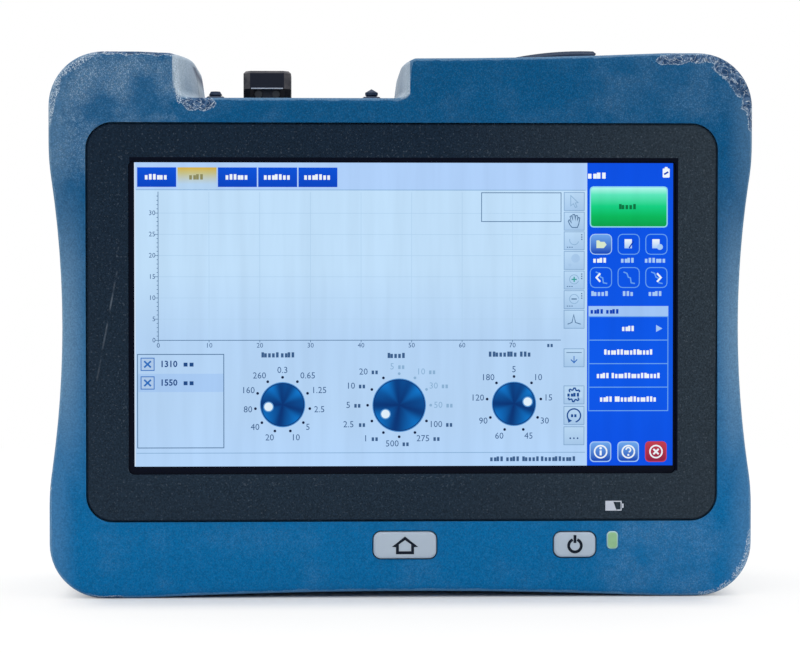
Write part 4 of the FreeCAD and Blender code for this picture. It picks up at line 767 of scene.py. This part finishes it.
class Picture:
    # collects slabs; a higher level lies further forward
    def __init__(self, front):
        self.parts, self.front = [], front
        self.left = display["centre"][0] - display["size"][0] / 2
        self.top = display["centre"][1] + display["size"][1] / 2

    def place(self, points):
        points = np.asarray(points, float)
        return np.column_stack([self.left + points[:, 0], self.top - points[:, 1]])

    def slab(self, outline, level, colours):
        # colours: one ink, or one ink or linear colour per outline point
        front = self.front - level * display["step"]
        verts, faces = prism(self.place(outline), front, self.front + display["step"])
        colours = colours if isinstance(colours, list) else [colours] * len(outline)
        tints = np.array([linear(inks[c]) if isinstance(c, str) else c for c in colours])
        self.parts.append((verts, faces, np.concatenate([tints, tints])))

    def rect(self, u0, v0, u1, v1, level, top, low=None):
        low = low or top
        self.slab([(u0, v0), (u1, v0), (u1, v1), (u0, v1)], level, [top, top, low, low])

    def fade(self, u0, u1, level, stops):
        # strips one under another; stops: (v, ink)
        for (v0, top), (v1, low) in zip(stops[:-1], stops[1:]):
            self.rect(u0, v0, u1, v1, level, top, low)

    def round(self, u0, v0, u1, v1, radius, level, top, low=None):
        # the colour runs evenly from the top ink to the low one
        outline = roundedOutline((u0 + u1) / 2, (v0 + v1) / 2, u1 - u0, v1 - v0, radius, 5)
        share = (outline[:, 1] - v0) / (v1 - v0)
        a, b = np.array(linear(inks[top])), np.array(linear(inks[low or top]))
        self.slab(outline, level, [tuple(a + (b - a) * t) for t in share])

    def frame(self, u0, v0, u1, v1, width, level, ink, radius=0.0):
        corners = [(u0, v0), (u1, v0), (u1, v1), (u0, v1)]
        if radius:
            corners = roundedOutline((u0 + u1) / 2, (v0 + v1) / 2, u1 - u0, v1 - v0, radius, 4)
        self.line(corners, width, level, ink, closed=True)

    def line(self, points, width, level, ink, closed=False):
        front = self.front - level * display["step"]
        verts, faces = strokeSlab(self.place(points), width, front, self.front + display["step"], closed)
        self.parts.append((verts, faces, np.tile(linear(inks[ink]), (len(verts), 1))))

    def shift(self, u, v, points, width, level, ink, closed=False):
        # a line whose points are counted from (u, v)
        self.line([(u + a, v + b) for a, b in points], width, level, ink, closed)

    def disc(self, u, v, radius, level, ink, steps=20):
        angle = np.arange(steps) / steps * 2 * np.pi
        self.slab(onCircle(u, v, radius, angle), level, ink)

    def arc(self, u, v, radius, start, end, width, level, ink):
        self.line(onCircle(u, v, radius, np.linspace(start, end, 24)), width, level, ink)

    def knob(self, u, v, radius, level, pointer):
        # turned metal: brightness is a sharpened cosine of four times the angle, with a finer one on top
        self.disc(u, v, radius + 0.3, level, "dialRim", 48)
        self.disc(u, v, radius + 0.05, level + 1, "dialDark", 48)
        angle = np.arange(96) / 96 * 2 * np.pi
        wave = 0.5 + 0.5 * np.cos(4 * angle + 2.6)
        wave = 0.15 + 0.75 * wave ** 1.6 + 0.1 * np.cos(9 * angle)
        dark, light = np.array(linear(inks["dialDark"])), np.array(linear(inks["dialLight"]))
        tints = dark + (light - dark) * np.clip(wave, 0, 1)[:, None]
        n = len(angle)
        points = self.place(np.vstack([onCircle(u, v, radius - 0.2, angle), [(u, v)]]))
        depths = (self.front - (level + 2) * display["step"], self.front + display["step"])
        verts = np.vstack([atDepth(points, y) for y in depths])
        # a fan on each face round its middle, and a wall between them
        faces = [(n, i, (i + 1) % n) for i in range(n)]
        faces += [(2 * n + 1, n + 1 + (i + 1) % n, n + 1 + i) for i in range(n)]
        faces += [(i, n + 1 + i, n + 1 + (i + 1) % n, (i + 1) % n) for i in range(n)]
        tints = np.vstack([tints, dark])
        self.parts.append((verts, faces, np.vstack([tints, tints])))
        self.disc(u + pointer[0], v + pointer[1], 1.5, level + 3, "halo", 24)
        self.disc(u + pointer[0], v + pointer[1], 1.2, level + 4, "dot", 24)

    def words(self, u, v, counts, level, ink, height, pitch):
        # rows of small blocks stand for words, with no lettering: two blocks in five are tall
        for count in counts:
            for i in range(count):
                tall = (2 * i + count) % 5 in (0, 3)
                top = v - height / 2 - (0.22 * height if tall else 0)
                self.rect(u, top, u + 0.66 * pitch, v + height * 0.42, level, ink)
                u += pitch * (0.7 if (i + count) % 4 == 1 else 1.0)
            u += 0.55 * pitch

    def number(self, text, u, v, level, ink, height=None, align="CENTER", bold=0.0):
        # digits set as a text curve with thickness, then turned upright and placed
        curve = bpy.data.curves.new("digits", "FONT")
        curve.body = text
        curve.size = (height or display["text"]) * display["capShare"]
        curve.resolution_u = 2
        curve.align_x, curve.align_y = align, "CENTER"
        curve.extrude, curve.offset = 0.5, bold
        holder = bpy.data.objects.new("digits", curve)
        bpy.context.scene.collection.objects.link(holder)
        mesh = bpy.data.meshes.new_from_object(holder)
        solid = bmesh.new()
        solid.from_mesh(mesh)
        bmesh.ops.remove_doubles(solid, verts=solid.verts, dist=1e-5)
        solid.to_mesh(mesh)
        solid.free()
        flat = np.zeros(len(mesh.vertices) * 3)
        mesh.vertices.foreach_get("co", flat)
        flat = flat.reshape(-1, 3)
        faces = [tuple(polygon.vertices) for polygon in mesh.polygons]
        points = self.place(np.column_stack([u + flat[:, 0], v - flat[:, 1]]))
        thick = (level + 1) * display["step"]
        depth = self.front + display["step"] - (flat[:, 2] + 0.5) * thick
        verts = np.column_stack([points[:, 0], depth, points[:, 1]])
        self.parts.append((verts, faces, np.tile(linear(inks[ink]), (len(verts), 1))))
        bpy.data.objects.remove(holder)
        bpy.data.curves.remove(curve)
        bpy.data.meshes.remove(mesh)


def drawFields(pic):
    # pale working area, the menu's blue, two rules, the edge line and the row of tabs
    (width, height), menu, tab = display["size"], display["menu"], display["tab"]
    pic.fade(0, menu, 1, [(0, "paleTop"), (7.6, "paleTop"), (8.0, "graph"), (30, "graph"), (50, "graphLow"),
                          (70, "graphLow"), (height, "status")])
    pic.fade(menu, width, 1, [(0, "blue"), (60, "blueLow"), (height, "blue")])
    for v in display["rules"]:
        pic.line([(0.5, v), (menu - 0.5, v)], 0.22, 3, "softLine")
    pic.line([(0.18, 0.2), (0.18, height - 0.2)], 0.35, 3, "edge")
    for i, letters in enumerate(tab["letters"]):
        u0 = tab["left"] + tab["pitch"] * i
        u1, ink = u0 + tab["width"], "white"
        if i == tab["chosen"]:
            ink = "tabInk"
            pic.fade(u0, u1, 3, [(tab["top"], "tabYellow"), (3.0, "tabMid"), (6.2, "tabPale"),
                                 (7.7, "tabPale")])
        else:
            pic.rect(u0, tab["top"], u1, tab["low"], 3, "tabBlue", "tabLow")
        pic.words(u0 + 5.55 - letters * 0.56, 4.3, (letters,), 4, ink, 1.35, 1.15)


def drawGraph(pic):
    # an empty graph: pale grid, ruled and numbered axes, and the legend's box
    left, floor, right = display["graph"]
    up, across, top = display["tickUp"], display["tickAcross"], display["graphTop"]
    for i in range(1, 8):
        pic.line([(left + across * i, top), (left + across * i, floor)], 0.16, 2, "grid")
    for i in range(1, 7):
        pic.line([(left, floor - up * i), (right, floor - up * i)], 0.16, 2, "grid")
    pic.line([(left, top - 0.1), (left, floor)], 0.2, 3, "line")
    pic.line([(left, floor), (right, floor)], 0.2, 3, "line")
    for i in range(35):
        v = floor - up / 5 * i
        reach = 0.9 if i % 5 == 0 else 0.45
        pic.line([(left - reach, v), (left, v)], 0.17, 4, "line")
        if i % 5 == 0:
            pic.number(str(i), left - 0.75, v, 4, "text", display["smallText"], "RIGHT")
    for i in range(8):
        u = left + across * i
        pic.line([(u, floor), (u, floor + 0.6)], 0.17, 4, "line")
        pic.number(str(10 * i), u, floor + 1.5, 4, "text", display["smallText"])
    pic.words(right - 3.9, floor + 1.6, (2,), 4, "text", 1.0, 0.95)
    pic.rect(*display["legend"], 2, "graph")
    pic.frame(*display["legend"], 0.22, 3, "line")


def drawList(pic):
    # two ticked wavelengths, in nanometres
    pic.frame(*display["list"], 0.24, 3, "line")
    pic.rect(1.0, 60.0, 25.2, 65.2, 3, "row")
    for v, label in ((57.3, "1310"), (62.6, "1550")):
        pic.frame(1.85, v - 1.75, 5.55, v + 1.75, 0.25, 5, "cross")
        pic.rect(2.0, v - 1.6, 5.4, v + 1.6, 4, "box")
        for sign in (-1, 1):
            pic.shift(3.7, v, [(-0.95, -0.9 * sign), (0.95, 0.9 * sign)], 0.5, 6, "cross")
        pic.number(label, 7.2, v, 5, "boldText", 1.8, "LEFT", 0.06)
        pic.words(13.9, v + 0.15, (2,), 5, "boldText", 1.2, 1.7)


def drawTool(pic, i, u, v):
    # one tool's symbol, whose points run from the tile's middle (u, v)
    if i == 0:
        arrow = [(-1.0, -1.7), (-1.0, 1.2), (-0.25, 0.6), (0.3, 1.7), (0.8, 1.5), (0.3, 0.4), (1.1, 0.3)]
        pic.shift(u, v, arrow, 0.22, 5, "faint", closed=True)
    elif i == 1:
        hand = [(-1.7, 0.0), (-1.2, 1.1), (-0.6, 1.8), (0.9, 1.8), (1.3, 0.8), (1.6, -0.9), (1.2, -1.1),
                (0.9, -0.2), (0.9, -1.6), (0.4, -1.6), (0.3, -0.3), (0.1, -1.9), (-0.4, -1.9), (-0.4, -0.3),
                (-0.8, -1.6), (-1.2, -1.3), (-0.8, 0.5), (-1.4, -0.4)]
        pic.shift(u, v, hand, 0.25, 5, "line", closed=True)
    elif i in (2, 4, 5):
        # a lens with ruler marks beside it, and a plus or a minus in the last two
        pic.arc(u, v - 0.2, 1.3, 0.3, 3.4 if i == 2 else 6.2, 0.2, 5, "faint")
        for k in range(3):
            pic.rect(u + 2.0, v - 1.9 + 0.65 * k, u + 2.35, v - 1.55 + 0.65 * k, 5, "line")
            pic.rect(u - 2.1 + 0.65 * k, v + 1.7, u - 1.7 + 0.65 * k, v + 1.95, 5, "line")
        if i > 2:
            pic.shift(u, v - 0.2, [(-0.75, 0), (0.75, 0)], 0.35, 5, "plus" if i == 4 else "line")
        if i == 4:
            pic.shift(u, v - 0.2, [(0, -0.75), (0, 0.75)], 0.35, 6, "plus")
    elif i == 3:
        pic.disc(u + 0.4, v - 0.6, 1.25, 5, "tileLow")
        pic.disc(u - 1.2, v + 1.3, 0.45, 5, "tileLow")
    elif i == 6:
        peaks = [(-1.9, 1.4), (-0.6, 0.9), (-0.1, -1.3), (0.4, 0.9), (1.9, 1.4)]
        pic.shift(u, v, peaks, 0.25, 5, "line")
    elif i == 7:
        pic.shift(u, v, [(-2.2, -1.5), (2.2, -1.5)], 0.2, 5, "line")
        pic.shift(u, v, [(0, -0.5), (0, 1.3)], 0.25, 5, "cross")
        pic.shift(u, v, [(-0.9, 0.5), (0, 1.4), (0.9, 0.5)], 0.3, 5, "cross")
    elif i == 8:
        # a cog with a band across it
        turn = np.arange(32) / 32 * 2 * np.pi
        reach = np.where(np.arange(32) // 2 % 2 == 0, 1.95, 1.45)
        pic.line(onCircle(u, v, reach, turn), 0.4, 5, "autoInk", closed=True)
        pic.rect(u - 2.4, v - 0.75, u + 2.4, v + 0.75, 6, "tile")
        pic.words(u - 1.9, v + 0.1, (4,), 7, "autoInk", 0.95, 1.0)
    elif i == 9:
        pic.arc(u, v, 1.9, 2.2, 7.6, 0.4, 5, "autoInk")
        pic.slab([(u - 1.9, v + 0.7), (u - 0.5, v + 1.5), (u - 1.6, v + 2.1)], 5, "autoInk")
        pic.words(u - 0.85, v + 0.1, (2,), 5, "autoInk", 0.9, 0.95)
    else:
        for k in range(3):
            pic.disc(u - 1.05 + k * 1.05, v + 0.7, 0.24, 5, "boldText")


def drawTools(pic):
    # eleven tool tiles one under another
    u0, width, height = display["tile"]
    for i, top in enumerate(display["tileTops"]):
        pic.rect(u0, top, u0 + width, top + height, 3, "tile", "tileLow")
        pic.frame(u0, top, u0 + width, top + height, 0.2, 4, "tileLine")
        drawTool(pic, i, u0 + width / 2, top + height / 2)


def drawDials(pic):
    # three knobs with a title above, and dots and numbers all round
    for dial in dials:
        (u, v), reach = dial["at"], dial["reach"]
        pic.knob(u, v, dial["radius"], 4, dial["pointer"])
        letters = sum(dial["title"]) + 0.5 * len(dial["title"])
        pic.words(u - letters * 0.6, v - 14.0, dial["title"], 5, "text", 1.3, 1.12)
        numbers = dial["numbers"].split()
        for i, label in enumerate(numbers):
            angle = 2 * math.pi * i / len(numbers) - math.pi / 2
            c, d = math.cos(angle), math.sin(angle)
            dotInk, ink = ("faint", "faint") if i < dial["grey"] else ("mark", "text")
            pic.disc(u + reach * c, v + reach * d, 0.4, 5, dotInk, 12)
            wide = 0.62 * len(label) + 1.0 * dial["unit"]
            at = u + (reach + 0.9) * c + wide * (1 if c > 0.1 else -1 if c < -0.1 else 0)
            high = v + (reach + 2.0) * d
            pic.number(label, at - 1.0 * dial["unit"], high, 5, ink)
            if dial["unit"]:
                pic.words(at - 0.9 + 0.62 * len(label), high + 0.2, (2,), 5, ink, 1.15, 1.05)


def drawMenuTiles(pic, column, u0):
    # two tiles with a word under each; the first of all is lit, the lower ones carry a line and a chevron
    size = display["button"]
    trace = [(-1.7, -1.6), (-0.7, -1.2), (-0.3, -0.1), (0.3, 0.1), (0.5, 1.5), (1.6, 1.7)]
    chevrons = {0: [(1.0, -1.2), (-0.1, 0), (1.0, 1.2)], 2: [(-1.0, -1.2), (0.1, 0), (-1.0, 1.2)]}
    u = u0 + 3.15
    for row, v0 in enumerate(display["tileRows"]):
        edge, ink = "menuLine", "soft"
        if column == 0 and row == 0:
            edge, ink = "soft", "white"
            pic.round(u0 + 0.1, v0 + 0.1, u0 + size, v0 + 5.8, 1.2, 3, "buttonTop", "deepBlue")
        pic.frame(u0 + 0.1, v0 + 0.1, u0 + size, v0 + 5.8, 0.24, 4, edge, 1.3)
        letters = ((4, 4, 6), (5, 3, 4))[row][column]
        pic.words(u - 0.55 * letters, v0 + 7.7, (letters,), 5, ink, 1.2, 1.08)
        if row == 1:
            pic.shift(u + 0.2, v0 + 2.95, trace, 0.34, 5, "menuLine")
            if column in chevrons:
                pic.shift(u + (column - 1) * 1.2, v0 + 2.95, chevrons[column], 0.5, 6, "white")
    # open folder, sheet with a pen, sheet with a badge
    if column == 0:
        folder = ((-1.3, -1.1), (-0.5, -1.1), (-0.2, -0.7), (1.0, -0.7), (1.6, 0.1), (0.8, 1.1), (-1.3, 1.1))
        pic.slab([(u + a, 23.15 + b) for a, b in folder], 5, "folder")
    else:
        pic.rect(u - 1.2, 21.7, u + 0.9, 24.3, 5, "white", "soft")
    if column == 1:
        pic.shift(u, 23.2, [(0.1, 1.0), (1.4, -0.9)], 0.4, 6, "deepBlue")
    if column == 2:
        pic.disc(u + 1.0, 23.9, 0.85, 6, "soft")


def drawRoundButton(pic, column, u0):
    # a ring with an information sign, a question sign or, on red, a cross
    u, v0, size = u0 + 3.15, display["roundRow"], display["button"]
    edge, top, low = ("menuHead", "buttonTop", "buttonLow") if column < 2 else ("red", "red", "redLow")
    pic.round(u0, v0, u0 + size, v0 + 5.9, 1.2, 3, edge)
    pic.round(u0 + 0.3, v0 + 0.3, u0 + size - 0.3, v0 + 5.6, 1.0, 4, top, low)
    pic.arc(u, v0 + 2.95, 1.75, 0, 2 * math.pi - 0.02, 0.42, 5, "white")
    if column == 0:
        pic.rect(u - 0.28, v0 + 2.6, u + 0.28, v0 + 4.0, 5, "white")
        pic.disc(u, v0 + 1.95, 0.36, 5, "white", 12)
    elif column == 1:
        pic.arc(u, v0 + 2.4, 0.65, math.pi, 2.45 * math.pi, 0.4, 5, "white")
        pic.disc(u, v0 + 3.9, 0.3, 5, "white", 12)
    else:
        for sign in (-1, 1):
            pic.shift(u, v0 + 2.95, [(-0.75, -0.75 * sign), (0.75, 0.75 * sign)], 0.5, 5, "white")


def drawMenu(pic):
    # the menu's title and charge sign, its start button, tiles, round buttons and list, and the status line
    start, pitch = display["column"]
    end = start + 2 * pitch + 6.3
    pic.words(129.1, 3.8, (4,), 5, "white", 1.5, 1.5)
    pic.round(150.5, 1.5, 152.5, 4.1, 0.3, 4, "white")
    pic.rect(151.1, 1.1, 151.9, 1.6, 4, "white")
    pic.shift(151.5, 2.9, [(-0.6, 0.3), (0.6, -0.4)], 0.5, 5, "deepBlue")
    pic.fade(start + 0.2, end - 0.2, 4, [(6.9, "startTop"), (9.0, "startHigh"), (12.2, "startMid"),
                                         (15.2, "startLow"), (18.1, "startEnd")])
    pic.frame(start + 0.1, 6.8, end - 0.1, 18.2, 0.35, 5, "rim", 0.9)
    pic.words(138.0, 12.6, (5,), 5, "startInk", 1.3, 1.1)
    for column in range(3):
        drawMenuTiles(pic, column, start + pitch * column)
        drawRoundButton(pic, column, start + pitch * column)
    top, tall = display["listTop"], display["listPitch"]
    pic.rect(129.3, 40.8, end + 0.3, top, 3, "menuHead")
    pic.words(129.9, 42.5, (4, 4), 4, "deepBlue", 1.15, 1.05)
    for row, counts in enumerate(display["listWords"]):
        v0 = top + tall * row
        pic.frame(129.4, v0, end + 0.2, v0 + tall, 0.26, 4, "menuLine")
        total = sum(counts) * 0.93 + 0.5 * (len(counts) - 1)
        pic.words(140.8 - total / 2, v0 + 3.6, counts, 5, "white", 1.3, 1.0)
    pic.slab([(148.7, 46.2), (150.5, 47.2), (148.7, 48.2)], 5, "menuHead")
    pic.words(101.2, 84.6, (4, 4, 5, 10), 3, "text", 1.2, 1.08)


def drawPicture():
    pic = Picture(mmBox("touch_panel")[0][1] - display["proud"])
    for draw in (drawFields, drawGraph, drawList, drawTools, drawDials, drawMenu):
        draw(pic)
    return joinParts(pic.parts)


crystalLook = {
    "bands": (3.4, 60, 38), "dim": 0.955, "bright": 1.02, "glow": 0.97, "unlit": "#010204",
    "roughness": 0.2, "gloss": 0.04,
}


def liquidCrystal(name, look):
    # liquid-crystal display: it glows in its own colours; faint upright bands drift across the backlight
    material, add, shader, place = startMaterial(name, look["gloss"])
    tint = add("Attribute", attribute_name="tint")
    shape = add("Mapping", {"Vector": place, "Scale": tuple(perMm(size) for size in look["bands"])})
    bands = add("TexNoise", {"Vector": shape, "Scale": 1.0, "Detail": 2.0})
    level = add("MapRange", bands, 0.3, 0.7, look["dim"], look["bright"])
    glow = add("VectorMath", tint, {"Scale": level}, operation="SCALE")
    fill(shader, {"Emission Color": glow, "Emission Strength": look["glow"],
                  "Base Color": linear(look["unlit"]), "Roughness": look["roughness"]})
    return material


finishes["liquidCrystal"] = liquidCrystal("liquidCrystal", crystalLook)
pictureVerts, pictureFaces, pictureTints = drawPicture()
addPiece("screenPicture", pictureVerts, pictureFaces, finishes["liquidCrystal"], "case", "screen_film",
         tints=pictureTints, smooth=False)
print("screen picture", len(pictureFaces))


# place in millimetres, yaw and pitch in radians, lens and sensor in millimetres
cameraView = {"place": (-21.4, -683.0, 89.5), "yaw": 0.032, "pitch": -0.019, "lens": 103.1, "sensor": 36.0}


def addCamera(view):
    data = bpy.data.cameras.new("camera")
    data.lens = view["lens"]
    data.sensor_width = view["sensor"]
    data.clip_start, data.clip_end = 0.01, 50.0
    camera = bpy.data.objects.new("camera", data)
    camera.location = Vector(view["place"]) * mm
    ahead = Vector((math.sin(view["yaw"]) * math.cos(view["pitch"]),
                    math.cos(view["yaw"]) * math.cos(view["pitch"]), math.sin(view["pitch"])))
    camera.rotation_mode = "QUATERNION"
    camera.rotation_quaternion = ahead.to_track_quat("-Z", "Y")
    bpy.context.scene.collection.objects.link(camera)
    bpy.context.scene.camera = camera


addCamera(cameraView)
print("camera")


# The shadow on the floor is full within 'foot' (half sizes in mm) and lifted from there over 'liftReach' mm.
# The floor fades to white between the two 'fade' distances in metres. Lights are placed and sized in mm.
studio = {
    "floor": "#f7f6f4", "roughness": 0.9, "reach": 20.0, "fade": (0.16, 0.6),
    "foot": (82, 43), "lift": (0.0, 0.72), "liftReach": 16, "worldFront": 0.3, "worldBack": 1.0,
    "lights": {
        "keyLight": {"place": (-350, -900, 900), "size": 900, "power": 4.2},
        "fillLight": {"place": (900, -700, 500), "size": 700, "power": 1.6},
        "topLight": {"place": (0, 200, 1000), "size": 900, "power": 4.0},
    },
}


def addFloor(look):
    # one wide plane: matt white paper, which the camera sees fade to pure white far from the object
    mesh = bpy.data.meshes.new("floor")
    reach = look["reach"]
    corners = [(-reach, -reach, 0), (reach, -reach, 0), (reach, reach, 0), (-reach, reach, 0)]
    mesh.from_pydata(corners, [], [(0, 1, 2, 3)])
    floor = bpy.data.objects.new("floor", mesh)
    bpy.context.scene.collection.objects.link(floor)
    material, add, shader, place = startMaterial("paperSweep")
    fill(shader, {"Base Color": linear(look["floor"]), "Roughness": look["roughness"]})
    foot = [side * mm for side in look["foot"]] + [0]
    aside = add("VectorMath", place, operation="ABSOLUTE")
    aside = add("VectorMath", aside, tuple(foot), operation="SUBTRACT")
    aside = add("VectorMath", add("VectorMath", aside, (0, 0, 0), operation="MAXIMUM"), operation="LENGTH")
    near = add("MapRange", aside, 0.0, look["liftReach"] * mm, *look["lift"])
    far = add("MapRange", add("VectorMath", place, operation="LENGTH"), *look["fade"], 0.0, 1.0)
    amount = add("Math", add("Math", near, far, operation="MAXIMUM"), add("LightPath", out="Is Camera Ray"),
                 operation="MULTIPLY")
    white = add("Emission", {"Color": (1, 1, 1, 1), "Strength": 1.0})
    paper = shader.outputs["BSDF"]
    sheet = paper.links[0].to_node
    fill(sheet, {"Surface": add("MixShader", amount, paper, white)})
    mesh.materials.append(material)
    floor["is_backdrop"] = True


def addLights(look):
    world = bpy.data.worlds.new("studioWorld")
    bpy.context.scene.world = world
    world.use_nodes = True
    tree = world.node_tree
    tree.nodes.clear()
    add = partial(put, tree)
    # the room is dim behind the camera, bright above and behind the object: it follows the direction's Y + Z
    way = add("TexCoord", out="Generated")
    lean = add("Math", add("SeparateXYZ", way, out="Y"), add("SeparateXYZ", way, out="Z"), operation="ADD")
    level = add("MapRange", lean, -0.6, 0.9, look["worldFront"], look["worldBack"])
    soft = add("Background", {"Color": (1, 1, 1, 1), "Strength": level})
    white = add("Background", {"Color": (1, 1, 1, 1), "Strength": 1.0})
    seen = add("Math", add("LightPath", out="Is Camera Ray"), add("LightPath", out="Is Glossy Ray"),
               operation="MAXIMUM")
    seen = add("Math", seen, add("LightPath", out="Is Transmission Ray"), operation="MAXIMUM")
    add("OutputWorld", {"Surface": add("MixShader", seen, soft, white)})
    lo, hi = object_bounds()
    middle = (lo + hi) / 2
    for name, light in look["lights"].items():
        data = bpy.data.lights.new(name, "AREA")
        data.shape, data.size, data.energy = "SQUARE", light["size"] * mm, light["power"]
        lamp = bpy.data.objects.new(name, data)
        lamp.location = Vector(light["place"]) * mm
        lamp.rotation_euler = (middle - lamp.location).to_track_quat("-Z", "Y").to_euler()
        bpy.context.scene.collection.objects.link(lamp)
    bpy.context.scene.view_settings.view_transform = "Standard"


addFloor(studio)
addLights(studio)
print("studio")
